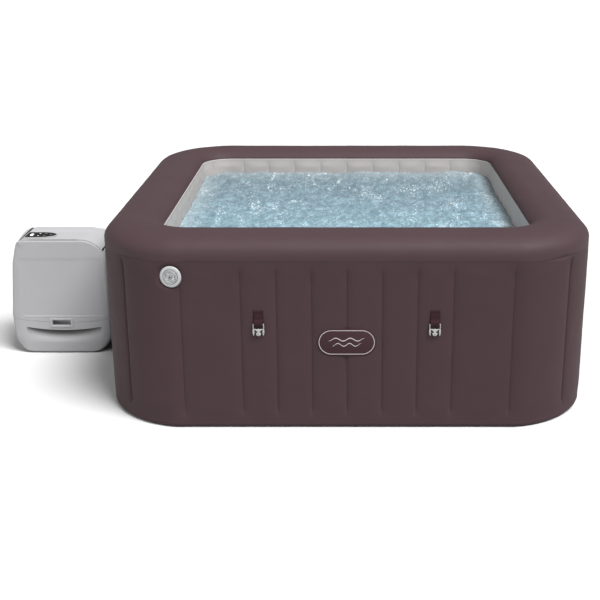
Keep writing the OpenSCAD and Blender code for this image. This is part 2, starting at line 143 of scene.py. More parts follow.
def N(nt, kind, **kw):
    n = nt.nodes.new(kind)
    for k, v in kw.items():
        if k in n.inputs.keys():
            n.inputs[k].default_value = v
        else:
            setattr(n, k, v)
    return n


def ramp(nt, stops, fac=None, interp="LINEAR"):
    r = nt.nodes.new("ShaderNodeValToRGB")
    r.color_ramp.interpolation = interp
    el = r.color_ramp.elements
    while len(el) < len(stops):
        el.new(0.5)
    for e, (p, c) in zip(el, stops):
        e.position = p; e.color = c
    if fac is not None:
        nt.links.new(fac, r.inputs["Fac"])
    return r


def scaled(c, k):
    return (c[0] * k, c[1] * k, c[2] * k, 1.0)


def plastic(name, base, rough=0.45, grain=900.0, bump=0.08, vary=0.06, wave=0.0, wave_scale=6.0, spec=0.5, coat=0.0,
            rough_vary=0.06, dist=0.0006, metal=0.0, voronoi=False):
    """Moulded plastic, rubber or laminated skin: colour drift, grain bump and roughness drift."""
    m, nt, p = new_mat(name)
    tc = N(nt, "ShaderNodeTexCoord")
    big = N(nt, "ShaderNodeTexNoise", Scale=5.0, Detail=4.0, Roughness=0.6)
    nt.links.new(tc.outputs["Object"], big.inputs["Vector"])
    r = ramp(nt, [(0.25, scaled(base, 1.0 - vary)), (0.75, scaled(base, 1.0 + vary))], big.outputs["Fac"])
    nt.links.new(r.outputs["Color"], p.inputs["Base Color"])
    if voronoi:
        fine = N(nt, "ShaderNodeTexVoronoi", Scale=grain)
        fine_out = fine.outputs["Distance"]
    else:
        fine = N(nt, "ShaderNodeTexNoise", Scale=grain, Detail=3.0, Roughness=0.6)
        fine_out = fine.outputs["Fac"]
    nt.links.new(tc.outputs["Object"], fine.inputs["Vector"])
    mid = N(nt, "ShaderNodeTexNoise", Scale=38.0, Detail=4.0, Roughness=0.6)
    nt.links.new(tc.outputs["Object"], mid.inputs["Vector"])
    mr = N(nt, "ShaderNodeMapRange")
    mr.inputs["To Min"].default_value = max(0.02, rough - rough_vary)
    mr.inputs["To Max"].default_value = min(1.0, rough + rough_vary)
    nt.links.new(mid.outputs["Fac"], mr.inputs["Value"])
    nt.links.new(mr.outputs["Result"], p.inputs["Roughness"])
    b1 = N(nt, "ShaderNodeBump", Strength=bump, Distance=dist)
    nt.links.new(fine_out, b1.inputs["Height"])
    last = b1
    if wave > 0:
        w = N(nt, "ShaderNodeTexNoise", Scale=wave_scale, Detail=2.0, Roughness=0.45)
        nt.links.new(tc.outputs["Object"], w.inputs["Vector"])
        b2 = N(nt, "ShaderNodeBump", Strength=wave, Distance=0.02)
        nt.links.new(w.outputs["Fac"], b2.inputs["Height"])
        nt.links.new(b1.outputs["Normal"], b2.inputs["Normal"])
        last = b2
    nt.links.new(last.outputs["Normal"], p.inputs["Normal"])
    p.inputs["Specular IOR Level"].default_value = spec
    p.inputs["Coat Weight"].default_value = coat
    p.inputs["Coat Roughness"].default_value = 0.15
    p.inputs["Metallic"].default_value = metal
    return m


M_PVC = plastic("pvc_mauve", (0.0388, 0.0216, 0.0247, 1), rough=0.66, grain=700, bump=0.10, vary=0.05, wave=0.08, wave_scale=5.0, spec=0.18, dist=0.0005)
# painted light: the rim's copy of the mauve PVC is lighter than the wall's, standing in for the light on the rim's top
M_PVC_RIM_LIT = plastic("pvc_mauve_rim_painted_light", (0.0440, 0.0255, 0.0290, 1), rough=0.64, grain=700, bump=0.10, vary=0.04, wave=0.07, wave_scale=4.0, spec=0.18, dist=0.0005)
M_LINER = plastic("pvc_liner_grey", srgb(158, 154, 152), rough=0.68, grain=500, bump=0.08, vary=0.03, wave=0.05, wave_scale=7.0, spec=0.25, dist=0.0005)
M_BASE = plastic("base_cloth", srgb(60, 50, 52), rough=0.75, grain=420, bump=0.35, vary=0.1, dist=0.001, voronoi=True)
M_PUMP = plastic("pump_shell", srgb(148, 148, 150), rough=0.62, grain=1500, bump=0.06, vary=0.015, spec=0.16, dist=0.0003)
# painted shade: a darker grey for the lip's top strip, standing in for the shadow line between the front cover and the
# console
M_LIP_SHADE = plastic("pump_lip_painted_shade", srgb(112, 112, 113), rough=0.55, grain=1500, bump=0.06, vary=0.02, spec=0.3, dist=0.0003)


def recess_shade_mat():
    """Casing plastic with painted shade: darker high up under the lip of the hand recess, where the lip's shadow falls,
    and plain lower down.
    """
    m = plastic("pump_hand_recess_painted_shade", srgb(148, 148, 150), rough=0.62, grain=1500, bump=0.06, vary=0.015, spec=0.12, dist=0.0003)
    nt = m.node_tree
    p = [n for n in nt.nodes if n.type == "BSDF_PRINCIPLED"][0]
    tc = N(nt, "ShaderNodeTexCoord")
    sep = N(nt, "ShaderNodeSeparateXYZ")
    nt.links.new(tc.outputs["Object"], sep.inputs["Vector"])
    a = N(nt, "ShaderNodeMath", operation="MULTIPLY_ADD")
    nt.links.new(sep.outputs["X"], a.inputs[0]); a.inputs[1].default_value = 5.5096; a.inputs[2].default_value = 7.4132
    t2 = N(nt, "ShaderNodeMath", operation="MULTIPLY")
    nt.links.new(a.outputs["Value"], t2.inputs[0]); nt.links.new(a.outputs["Value"], t2.inputs[1])
    zz = N(nt, "ShaderNodeMath", operation="MULTIPLY_ADD")
    nt.links.new(t2.outputs["Value"], zz.inputs[0]); zz.inputs[1].default_value = -0.030
    nt.links.new(sep.outputs["Z"], zz.inputs[2])
    mr = N(nt, "ShaderNodeMapRange")
    mr.inputs["From Min"].default_value = 0.070; mr.inputs["From Max"].default_value = 0.108
    nt.links.new(zz.outputs["Value"], mr.inputs["Value"])
    # painted shade: dark high up under the lip, fading to the plain casing grey lower down
    r = ramp(nt, [(0.0, srgb(148, 148, 150)), (0.35, srgb(136, 136, 137)), (1.0, srgb(66, 66, 67))], mr.outputs["Result"])
    nt.links.new(r.outputs["Color"], p.inputs["Base Color"])
    return m


M_RECESS_SHADE = recess_shade_mat()
M_PUMP_DARK = plastic("pump_recess", srgb(112, 112, 113), rough=0.55, grain=1500, bump=0.06, vary=0.03, spec=0.35, dist=0.0003)
M_FIT = plastic("fitting_grey", srgb(178, 180, 183), rough=0.45, grain=1200, bump=0.05, vary=0.04)
M_NUT = plastic("nut_grey", srgb(150, 152, 156), rough=0.45, grain=1200, bump=0.06, vary=0.05)
M_VALVE = plastic("valve_grey", srgb(154, 155, 156), rough=0.38, grain=1600, bump=0.04, vary=0.03)
# painted shade: near-black for the valve's groove floor and centre pit and the buckle tongue's dimple, where shade
# falls
M_SHADE_DARK = plastic("valve_dark", srgb(38, 38, 40), rough=0.5, grain=1400, bump=0.05, vary=0.1)
M_CLIP = plastic("clip_acetal", srgb(146, 145, 144), rough=0.36, grain=1800, bump=0.04, vary=0.03)
M_RUBBER = plastic("rubber_black", srgb(28, 28, 29), rough=0.75, grain=900, bump=0.15, vary=0.15)
M_DRAIN = plastic("drain_dark", srgb(66, 60, 61), rough=0.5, grain=900, bump=0.08, vary=0.08)
M_GLOSS = plastic("panel_gloss", srgb(12, 12, 14), rough=0.38, grain=60, bump=0.01, vary=0.2, rough_vary=0.03, spec=0.10)
M_BTN = plastic("button_gloss", srgb(20, 20, 23), rough=0.40, grain=900, bump=0.02, vary=0.1, rough_vary=0.04, spec=0.12)
M_BOX = plastic("box_black", srgb(34, 34, 36), rough=0.55, grain=900, bump=0.1, vary=0.1)
M_BOARD = plastic("board_green", srgb(24, 92, 56), rough=0.35, grain=300, bump=0.1, vary=0.2)
M_MOTOR = plastic("motor_paint", srgb(58, 60, 64), rough=0.4, grain=500, bump=0.1, vary=0.1, metal=0.2)
M_STEEL = plastic("steel", srgb(190, 192, 195), rough=0.3, grain=300, bump=0.05, vary=0.06, metal=1.0)
M_BRASS = plastic("brass", srgb(196, 164, 96), rough=0.3, grain=300, bump=0.05, vary=0.06, metal=1.0)
M_TRAY = plastic("tray_grey", srgb(112, 113, 116), rough=0.6, grain=700, bump=0.1, vary=0.05)
M_SHEET = plastic("baffle_sheet", srgb(214, 214, 206), rough=0.8, grain=600, bump=0.3, vary=0.06)
M_INK = plastic("badge_ink", srgb(160, 152, 153), rough=0.45, grain=900, bump=0.08, vary=0.05)
M_BADGE = plastic("badge_film", srgb(52, 34, 39), rough=0.6, grain=700, bump=0.08, vary=0.05, spec=0.12)


def lamp_mat(name, color, strength):
    m, nt, p = new_mat(name)
    tc = N(nt, "ShaderNodeTexCoord")
    n = N(nt, "ShaderNodeTexNoise", Scale=200.0, Detail=2.0)
    nt.links.new(tc.outputs["Object"], n.inputs["Vector"])
    r = ramp(nt, [(0.2, scaled(color, 0.85)), (0.8, color)], n.outputs["Fac"])
    nt.links.new(r.outputs["Color"], p.inputs["Emission Color"])
    p.inputs["Base Color"].default_value = color
    p.inputs["Emission Strength"].default_value = strength
    p.inputs["Roughness"].default_value = 0.3
    return m


M_LIT = lamp_mat("sign_lit", (1.0, 1.0, 1.0, 1.0), 0.9)
M_LIT2 = lamp_mat("sign_dim", (0.62, 0.64, 0.66, 1.0), 0.12)


def webbing_mat():
    m, nt, p = new_mat("webbing")
    tc = N(nt, "ShaderNodeTexCoord")
    w1 = N(nt, "ShaderNodeTexWave", Scale=190.0, Distortion=0.4, Detail=1.0)
    w1.bands_direction = "Z"
    w2 = N(nt, "ShaderNodeTexWave", Scale=260.0, Distortion=0.3, Detail=1.0)
    w2.bands_direction = "X"
    for w in (w1, w2):
        nt.links.new(tc.outputs["Object"], w.inputs["Vector"])
    mul = N(nt, "ShaderNodeMath", operation="MULTIPLY")
    nt.links.new(w1.outputs["Fac"], mul.inputs[0]); nt.links.new(w2.outputs["Fac"], mul.inputs[1])
    r = ramp(nt, [(0.0, srgb(38, 22, 26)), (0.6, srgb(58, 36, 41)), (1.0, srgb(74, 50, 55))], mul.outputs["Value"])
    nt.links.new(r.outputs["Color"], p.inputs["Base Color"])
    b = N(nt, "ShaderNodeBump", Strength=0.6, Distance=0.0012)
    nt.links.new(mul.outputs["Value"], b.inputs["Height"])
    nt.links.new(b.outputs["Normal"], p.inputs["Normal"])
    p.inputs["Roughness"].default_value = 0.85
    p.inputs["Specular IOR Level"].default_value = 0.08
    return m


M_WEB = webbing_mat()


def water_mat():
    m, nt, p = new_mat("water")
    tc = N(nt, "ShaderNodeTexCoord")
    sep = N(nt, "ShaderNodeSeparateXYZ")
    nt.links.new(tc.outputs["Object"], sep.inputs["Vector"])
    # the water is paler nearer the front and darker towards the back
    mrY = N(nt, "ShaderNodeMapRange")
    mrY.inputs["From Min"].default_value = -0.75; mrY.inputs["From Max"].default_value = 0.75
    nt.links.new(sep.outputs["Y"], mrY.inputs["Value"])
    base = ramp(nt, [(0.0, srgb(156, 188, 200)), (0.45, srgb(143, 170, 182)), (1.0, srgb(128, 144, 152))], mrY.outputs["Result"])
    # bubbles are carried outwards by the jets, so every pattern is drawn out along Y
    mp = N(nt, "ShaderNodeMapping")
    mp.inputs["Scale"].default_value = (1.0, 0.42, 1.0)
    nt.links.new(tc.outputs["Object"], mp.inputs["Vector"])
    n1 = N(nt, "ShaderNodeTexNoise", Scale=34.0, Detail=10.0, Roughness=0.78, Distortion=0.7)
    nt.links.new(mp.outputs["Vector"], n1.inputs["Vector"])
    mot = ramp(nt, [(0.34, srgb(86, 96, 101)), (0.5, srgb(126, 129, 130)), (0.66, srgb(176, 178, 179))], n1.outputs["Fac"])
    mx = N(nt, "ShaderNodeMix", data_type="RGBA", blend_type="OVERLAY")
    mx.inputs["Factor"].default_value = 0.85
    nt.links.new(base.outputs["Color"], mx.inputs["A"]); nt.links.new(mot.outputs["Color"], mx.inputs["B"])
    # froth: fine flecks, gathered in patches where the jets rise
    n2 = N(nt, "ShaderNodeTexNoise", Scale=120.0, Detail=2.0, Roughness=0.55, Distortion=0.3)
    nt.links.new(mp.outputs["Vector"], n2.inputs["Vector"])
    n3 = N(nt, "ShaderNodeTexNoise", Scale=11.0, Detail=3.0, Roughness=0.6, Distortion=0.8)
    nt.links.new(mp.outputs["Vector"], n3.inputs["Vector"])
    mul = N(nt, "ShaderNodeMath", operation="MULTIPLY")
    nt.links.new(n2.outputs["Fac"], mul.inputs[0]); nt.links.new(n3.outputs["Fac"], mul.inputs[1])
    foam = ramp(nt, [(0.325, (0, 0, 0, 1)), (0.43, (0.62, 0.62, 0.62, 1))], mul.outputs["Value"])
    mx2 = N(nt, "ShaderNodeMix", data_type="RGBA")
    nt.links.new(foam.outputs["Color"], mx2.inputs["Factor"])
    nt.links.new(mx.outputs["Result"], mx2.inputs["A"])
    mx2.inputs["B"].default_value = srgb(212, 222, 226)
    # a paler margin near the walls: painted light that lifts the shade the rim casts on the water
    ab = N(nt, "ShaderNodeMath", operation="ABSOLUTE")
    nt.links.new(sep.outputs["X"], ab.inputs[0])
    ex_ = N(nt, "ShaderNodeMapRange")
    ex_.inputs["From Min"].default_value = 0.64; ex_.inputs["From Max"].default_value = 0.757
    ex_.inputs["To Max"].default_value = 0.36
    nt.links.new(ab.outputs["Value"], ex_.inputs["Value"])
    ey_ = N(nt, "ShaderNodeMapRange")
    ey_.inputs["From Min"].default_value = 0.56; ey_.inputs["From Max"].default_value = 0.757
    ey_.inputs["To Max"].default_value = 0.30
    nt.links.new(sep.outputs["Y"], ey_.inputs["Value"])
    mxm = N(nt, "ShaderNodeMath", operation="MAXIMUM")
    nt.links.new(ex_.outputs["Result"], mxm.inputs[0]); nt.links.new(ey_.outputs["Result"], mxm.inputs[1])
    mx3 = N(nt, "ShaderNodeMix", data_type="RGBA")
    nt.links.new(mxm.outputs["Value"], mx3.inputs["Factor"])
    nt.links.new(mx2.outputs["Result"], mx3.inputs["A"])
    mx3.inputs["B"].default_value = srgb(164, 172, 175)
    nt.links.new(mx3.outputs["Result"], p.inputs["Base Color"])
    b = N(nt, "ShaderNodeBump", Strength=0.6, Distance=0.01)
    nt.links.new(n2.outputs["Fac"], b.inputs["Height"])
    nt.links.new(b.outputs["Normal"], p.inputs["Normal"])
    p.inputs["Roughness"].default_value = 0.24
    p.inputs["IOR"].default_value = 1.33
    p.inputs["Specular IOR Level"].default_value = 0.35
    return m


M_WATER = water_mat()

# ------------------------------------------------------------------ tub: the path round the tub
C0 = 0.622


def quarter_stops(half_seams, r_ref, fine=(0.0012, 0.0025, 0.0040, 0.0060, 0.0090, 0.0130, 0.0190), coarse=0.012):
    """Stops along one quarter, from the middle of one wall to the middle of the next, dense near each seam."""
    q = 2 * C0 + r_ref * math.pi / 2
    seams = [0.0] + list(half_seams) + [q / 2] + [q - s for s in reversed(half_seams)] + [q]
    out = []
    for a, b in zip(seams[:-1], seams[1:]):
        w = b - a
        t = [0.0] + [f for f in fine if f < w / 2.2]
        mid0, mid1 = t[-1], w - t[-1]
        n = max(1, int(round((mid1 - mid0) / coarse)))
        t += [mid0 + (mid1 - mid0) * i / n for i in range(1, n)]
        t += [w - f for f in reversed([0.0] + [f for f in fine if f < w / 2.2])][:-1]
        for x in t:
            out.append((a + x, a, b))
    return out, q


class Ring:
    """Sample columns round the tub. The corner arcs are centred on (C0, C0), so a half-width w puts a column at w."""

    def __init__(self, half_seams, r_ref, **kw):
        stops, q = quarter_stops(half_seams, r_ref, **kw)
        cx, cy, nx, ny, ss, aa, bb, cor, kk = [], [], [], [], [], [], [], [], []
        arc = r_ref * math.pi / 2
        for k in range(4):
            ck, sk = round(math.cos(k * math.pi / 2)), round(math.sin(k * math.pi / 2))
            for s, a, b in stops:
                if s <= C0:
                    c, n, ph = (s, -C0), (0.0, -1.0), 0.0
                elif s < C0 + arc:
                    ph = (s - C0) / r_ref
                    c, n = (C0, -C0), (math.sin(ph), -math.cos(ph))
                else:
                    c, n, ph = (C0, -C0 + (s - C0 - arc)), (1.0, 0.0), math.pi / 2
                cx.append(c[0] * ck - c[1] * sk); cy.append(c[0] * sk + c[1] * ck)
                nx.append(n[0] * ck - n[1] * sk); ny.append(n[0] * sk + n[1] * ck)
                ss.append(s); aa.append(a); bb.append(b); cor.append(ph); kk.append(k)
        A = np.array
        self.cx, self.cy, self.nx, self.ny = A(cx), A(cy), A(nx), A(ny)
        self.s, self.a, self.b, self.ph, self.k = A(ss), A(aa), A(bb), A(cor), A(kk)
        self.L = self.b - self.a
        self.u = (self.s - self.a) / self.L
        self.d = np.minimum(self.s - self.a, self.b - self.s)
        self.corner = np.sin(2 * self.ph) ** 2  # 0 on the straights, 1 in the middle of a corner
        self.full = sstep(0.0, 0.50, np.sin(2 * self.ph))  # 1 over nearly all of a corner
        self.n = len(self.s)
        self.q = q

    def place(self, w, z):
        """w, z: (columns,) arrays or numbers -> (columns, 3)."""
        e = np.asarray(w) - C0
        zz = np.broadcast_to(np.asarray(z, float), (self.n,))
        return np.stack([self.cx + self.nx * e, self.cy + self.ny * e, zz], axis=-1)


def swept(name, ring, rows, mat, replaces=()):
    """rows: a closed loop of (w(cols), z(cols)) round the section."""
    V = np.stack([ring.place(w, z) for w, z in rows], axis=0)
    n, m = V.shape[0], V.shape[1]
    ob = mesh_obj(name, V.reshape(-1, 3), grid_faces(n, m, True, True), mat, replaces=replaces)
    fix_normals(ob)
    return ob


# ------------------------------------------------------------------ outer wall
OUT = Ring([0.139, 0.278, 0.418, 0.654], 0.378)
S_VALVE = C0 + 0.378 * math.radians(90.0 - 9.3)
WELD = 0.7035


DRAIN_Y, DRAIN_Z = 0.250, 0.075
CORNER = 0.0078            # the corner panels swell this much more than the straight ones
SEATS = [(-1, -0.095, 0.210, 0.050), (-1, 0.095, 0.210, 0.050), (-1, 0.0, 0.330, 0.050), (-1, 0.0, 0.470, 0.044), (1, DRAIN_Y, DRAIN_Z, 0.040)]


def wall_w(z, R=OUT):
    """Half-width of the outer wall's face at height z, for every column."""
    A = sstep(0.030, 0.095, z) * (1 - sstep(0.640, 0.700, z))
    G = sstep(0.045, 0.085, z) * (1 - sstep(0.625, 0.692, z))
    crown = 1 - np.abs(2 * R.u - 1) ** 3.0
    h = np.where(R.L < 0.16, 0.0048, 0.0062)
    groove = 0.0017 * np.exp(-(R.d / 0.0040) ** 2) + 0.0019 * np.exp(-(R.d / 0.013) ** 2)
    # the seam in the middle of each corner is pulled in hardest, and right up to the weld
    mid = np.exp(-((R.ph - math.pi / 4) / 0.12) ** 2)
    groove = groove + mid * (0.0030 * np.exp(-(R.d / 0.0045) ** 2) + 0.0012 * np.exp(-(R.d / 0.012) ** 2))
    G = G + mid * (sstep(0.045, 0.085, z) * (1 - sstep(0.680, 0.700, z)) - G)
    base = 0.9981 + 0.0015 * sstep(0.600, 0.700, z) + (CORNER - np.where(R.cy < 0, 0.0, 0.0044)) * R.full
    w = base + A * (h * crown - 0.0035) - G * groove
    # the skin is drawn in a little round the inflation valve
    dv = np.where(R.k == 3, R.s - S_VALVE, 9.0)
    rho = np.sqrt(dv ** 2 + (z - 0.644) ** 2)
    w = w + (0.9975 - w) * np.exp(-(np.clip(rho - 0.043, 0, None) / 0.0070) ** 2)
    # and lies flat under the fittings on the left and the drain on the right
    for side, y0, z0, r0 in SEATS:
        rr = np.where(R.nx * side > 0.999, np.sqrt((R.cy - y0) ** 2 + (z - z0) ** 2), 9.0)
        w = w + (0.9990 - w) * np.exp(-(np.clip(rr - r0, 0, None) / 0.014) ** 2)
    # slow unevenness of an inflated skin
    w = w + 0.0009 * A * pnoise(R.s * 7 + R.k * 31, z * 5 + R.k * 3, 4) + 0.0005 * A * pnoise(R.s * 21 + R.k * 57, z * 13, 9)
    # little puckers where each seam ends at the top
    w = w - 0.0010 * np.exp(-((z - 0.690) / 0.010) ** 2) * np.exp(-(R.d / 0.010) ** 2)
    return w


def crease(R):
    """How deep the weld between wall and rim is drawn in: shallow along the sides, pinched in the corners."""
    phi = np.where(R.k % 2 == 0, R.ph, math.pi / 2 - R.ph)      # angle from the front or back wall
    return np.where(R.k == 3, 0.0036, 0.0052) * np.exp(-((phi - math.radians(38)) / math.radians(9)) ** 2)


rows = []
foot = 0.9985 - 0.0200 + CORNER * OUT.full
for a in np.linspace(0, 90, 9):
    t = math.radians(a)
    rows.append((foot + 0.020 * math.sin(t), 0.0008 + 0.020 - 0.020 * math.cos(t)))
zs = np.concatenate([np.linspace(0.024, 0.11, 15), np.linspace(0.122, 0.584, 34), np.linspace(0.590, 0.688, 30), np.linspace(0.6905, 0.7020, 6)])
cr = crease(OUT)
for z in zs:
    rows.append((wall_w(z) - cr * sstep(0.690, WELD, z), z))
top_in = wall_w(0.7030) - cr
rows.append((top_in, WELD + 0.0004))
for w_in, z in ((-0.0035, WELD + 0.0014), (-0.006, 0.698)):
    rows.append((top_in + w_in, z))
for z in (0.64, 0.5, 0.35, 0.2, 0.09):
    rows.append((wall_w(z) - 0.006 - cr * sstep(0.690, WELD, z), z))
for a in (90, 60, 30, 0):
    t = math.radians(a)
    rows.append((foot + 0.016 * math.sin(t), 0.0008 + 0.020 - 0.018 * math.cos(t)))
outer = swept("outer_wall_skin", OUT, rows, M_PVC, ("outer_wall",))

# ------------------------------------------------------------------ rim
RIM = Ring([0.139, 0.278, 0.418, 0.654], 0.378, fine=(0.004, 0.010), coarse=0.014)
crr = crease(RIM)
def rim_point(th, t=0.0):
    """The rim's section at angle th from the outside, drawn in by t: a full, slightly squared arch."""
    c, q = math.cos(th), math.sin(th)
    e = 2.0 / 2.12 if c < 0 else 2.0 / 2.45
    if c >= 0:
        w = 0.8630 + (0.1376 + np.where(RIM.cy < 0, 0.0066, 0.0022) * RIM.full - t) * abs(c) ** e; z = 0.7180 + (0.0820 - t) * abs(q) ** e
    else:
        w = 0.8630 - (0.1060 - t) * abs(c) ** e; z = 0.7290 + (0.0710 - t) * abs(q) ** e
    w = w + 0 * RIM.u; z = z + 0 * RIM.u
    lump = 0.0008 * pnoise(RIM.s * 6 + RIM.k * 17, th * 2.0 + RIM.k, 21)
    return w + lump * c, z + lump * q


base_w = 0.9997 + CORNER * RIM.full - crr - np.where(RIM.cy < 0, 0.0, 0.0044) * RIM.full
rows = [(base_w - 0.0040, WELD - 0.0008 + 0 * RIM.u), (base_w - 0.0003, WELD + 0.0003 + 0 * RIM.u)]
w0, z0 = rim_point(0.0)
for f in (0.2, 0.4, 0.65, 0.85):
    # full and upright along the sides, tucked under in the corners
    k = math.sin(f * math.pi / 2) ** 0.8
    rows.append((base_w + (w0 - base_w) * k, WELD + (0.7180 - WELD) * f + 0 * RIM.u))
ths = np.concatenate([np.linspace(0.0, 0.3, 8), np.linspace(0.35, 2.78, 48)])
for th in ths:
    rows.append(rim_point(float(th)))
rows.append((0.7642 + 0 * RIM.u, 0.7537 + 0 * RIM.u))
rows.append((0.7668 + 0 * RIM.u, 0.7541 + 0 * RIM.u))
for th in np.linspace(2.72, 0.0, 20):
    rows.append(rim_point(float(th), 0.0030))
rows.append((base_w - 0.0050, WELD + 0.004 + 0 * RIM.u))
rim = swept("top_ring_skin", RIM, rows, M_PVC_RIM_LIT, ("top_ring",))

# ------------------------------------------------------------------ liner
INN = Ring([0.142, 0.283, 0.425, 0.561], 0.135, fine=(0.0015, 0.003, 0.006, 0.010, 0.016), coarse=0.012)


def liner_w(z, R=INN):
    A = sstep(0.01, 0.08, z) * (1 - sstep(0.705, 0.750, z))
    crown = 1 - np.abs(2 * R.u - 1) ** 2.6
    h = np.where(R.L < 0.16, 0.0042, 0.0040)
    groove = 0.0010 * np.exp(-(R.d / 0.0040) ** 2)
    w = 0.7618 - A * (h * crown) + A * groove
    w = w + 0.0007 * A * pnoise(R.s * 16 + R.k * 31, z * 30, 5)
    return w


rows = []
for w_, z_ in ((0.7666, 0.7531), (0.7644, 0.7534), (0.7628, 0.7529), (0.7619, 0.7518), (0.7616, 0.7504)):
    rows.append((w_ + 0 * INN.u, z_))
for z in np.concatenate([np.linspace(0.7480, 0.60, 30), np.linspace(0.55, 0.05, 12), [0.03, 0.012, 0.006]]):
    rows.append((liner_w(z), z))
for z in (0.006, 0.2, 0.5, 0.74, 0.750):
    rows.append((0.7668 + 0 * INN.u, z))
liner = swept("inner_wall_skin", INN, rows, M_LINER, ("inner_wall",))

# ------------------------------------------------------------------ water


def water():
    n = 361
    W, c = 0.7585, 0.622
    g = np.linspace(-W, W, n)
    X, Y = np.meshgrid(g, g, indexing="ij")
    r = W - c
    ax = np.clip((np.abs(X) - c) / r, 0, 1); ay = np.clip((np.abs(Y) - c) / r, 0, 1)
    both = (ax > 0) & (ay > 0)
    nx = ax * np.sqrt(1 - ay ** 2 / 2); ny = ay * np.sqrt(1 - ax ** 2 / 2)
    X2 = np.where(both, np.sign(X) * (c + r * nx), X); Y2 = np.where(both, np.sign(Y) * (c + r * ny), Y)
    # chop: warped ripples at several sizes, higher where the jets drive the water up the back wall
    wx = X2 + 0.030 * pnoise(X2 * 9, Y2 * 9, 1) + 0.012 * pnoise(X2 * 23, Y2 * 23, 2)
    wy = Y2 + 0.030 * pnoise(X2 * 9 + 9, Y2 * 9 + 4, 3) + 0.012 * pnoise(X2 * 23 + 5, Y2 * 23, 4)
    h = 0.0060 * pnoise(wx * 6, wy * 7, 11) + 0.0042 * pnoise(wx * 13, wy * 17, 12)
    h = h + 0.0032 * (0.6 - 1.6 * np.abs(pnoise(wx * 24, wy * 32, 13))) + 0.0019 * (0.5 - np.abs(pnoise(wx * 44, wy * 60, 14)))
    h = h + 0.0011 * pnoise(wx * 85, wy * 105, 15)
    lvl = 0.6560 + 0.024 * sstep(0.30, 0.757, Y2) * (1 - 0.25 * sstep(0.60, 0.757, np.abs(X2)))
    Z = lvl + h
    top = np.stack([X2, Y2, Z], axis=-1).reshape(-1, 3)
    bot = np.stack([X2, Y2, np.full_like(Z, 0.52)], axis=-1)
    ring_idx = [(i, 0) for i in range(n)] + [(n - 1, j) for j in range(1, n)] + [(i, n - 1) for i in range(n - 2, -1, -1)] + [(0, j) for j in range(n - 2, 0, -1)]
    nt = n * n
    low = np.array([bot[i, j] for i, j in ring_idx])
    faces = list(grid_faces(n, n))
    m = len(ring_idx)
    for q in range(m):
        i, j = ring_idx[q]; i2, j2 = ring_idx[(q + 1) % m]
        faces.append((i * n + j, nt + q, nt + (q + 1) % m, i2 * n + j2))
    V = np.concatenate([top, low], axis=0)
    fl = [tuple(f) for f in faces] + [tuple(range(nt, nt + m))]
    ob = mesh_obj("water", V, fl, M_WATER)
    fix_normals(ob)
    return ob


water_ob = water()

# ------------------------------------------------------------------ inflation valve
VA = math.radians(9.3)
V_AX = Vector((-math.sin(VA), -math.cos(VA), 0.0))            # points out of the wall
V_C = Vector((-C0, -C0, 0.644))


def lathe(name, origin, axis, prof, mat, n=96, replaces=(), body=ROOT, closed=True):
    """prof: (distance along the axis, radius) points, a closed loop when closed is true."""
    axis = Vector(axis).normalized()
    u = axis.orthogonal().normalized(); v = axis.cross(u)
    o = np.array(origin); ax = np.array(axis); U = np.array(u); Vv = np.array(v)
    t = np.arange(n) * 2 * math.pi / n
    rows_ = []
    for d, r in prof:
        rows_.append(o + ax * d + r * (np.cos(t)[:, None] * U + np.sin(t)[:, None] * Vv))
    P = np.stack(rows_, 0)
    faces = grid_faces(len(prof), n, closed, True)
    ob = mesh_obj(name, P.reshape(-1, 3), faces, mat, replaces=replaces, body=body)
    fix_normals(ob)
    return ob


def rounded(points, r=0.0008, seg=3):
    """Rounds the corners of a closed (d, r) loop."""
    out = []
    n = len(points)
    for i in range(n):
        p0 = np.array(points[i - 1], float); p1 = np.array(points[i], float); p2 = np.array(points[(i + 1) % n], float)
        a = p0 - p1; b = p2 - p1
        la, lb = np.linalg.norm(a), np.linalg.norm(b)
        k = min(r, la * 0.45, lb * 0.45)
        if k <= 1e-7 or la < 1e-9 or lb < 1e-9:
            out.append(tuple(p1)); continue
        s, e = p1 + a / la * k, p1 + b / lb * k
        for j in range(seg + 1):
            t = j / seg
            out.append(tuple((1 - t) ** 2 * s + 2 * t * (1 - t) * p1 + t * t * e))
    return out


vo = V_C
flange = rounded([(0.3770, 0.0302), (0.3770, 0.0430), (0.3815, 0.0430), (0.3836, 0.0405), (0.3848, 0.0350), (0.3848, 0.0302)], 0.0010)
lathe("air_valve_flange", vo, V_AX, flange, M_VALVE, replaces=("air_valve_body",))
core = rounded([(0.3560, 0.0196), (0.3560, 0.0229), (0.3850, 0.0229), (0.3860, 0.0222), (0.3860, 0.0200), (0.3850, 0.0190), (0.3745, 0.0188), (0.3745, 0.0196)], 0.0006)
lathe("air_valve_core_ring", vo, V_AX, core, M_VALVE, replaces=("air_valve_core",))
lathe("air_valve_step", vo, V_AX, rounded([(0.3780, 0.0243), (0.3780, 0.0280), (0.3852, 0.0280), (0.3860, 0.0272), (0.3860, 0.0250), (0.3852, 0.0243)], 0.0005), M_VALVE)
# painted shade: the floor of the grooves between the rings is dark
lathe("air_valve_groove", vo, V_AX, rounded([(0.3776, 0.0185), (0.3776, 0.0306), (0.3800, 0.0306), (0.3800, 0.0185)], 0.0002), M_SHADE_DARK)
# the core's hub, its eight spokes, and the stem in the middle
lathe("air_valve_hub", vo, V_AX, rounded([(0.3610, 0.00406), (0.3610, 0.0080), (0.3710, 0.0080), (0.3710, 0.00406)], 0.0005), M_VALVE)


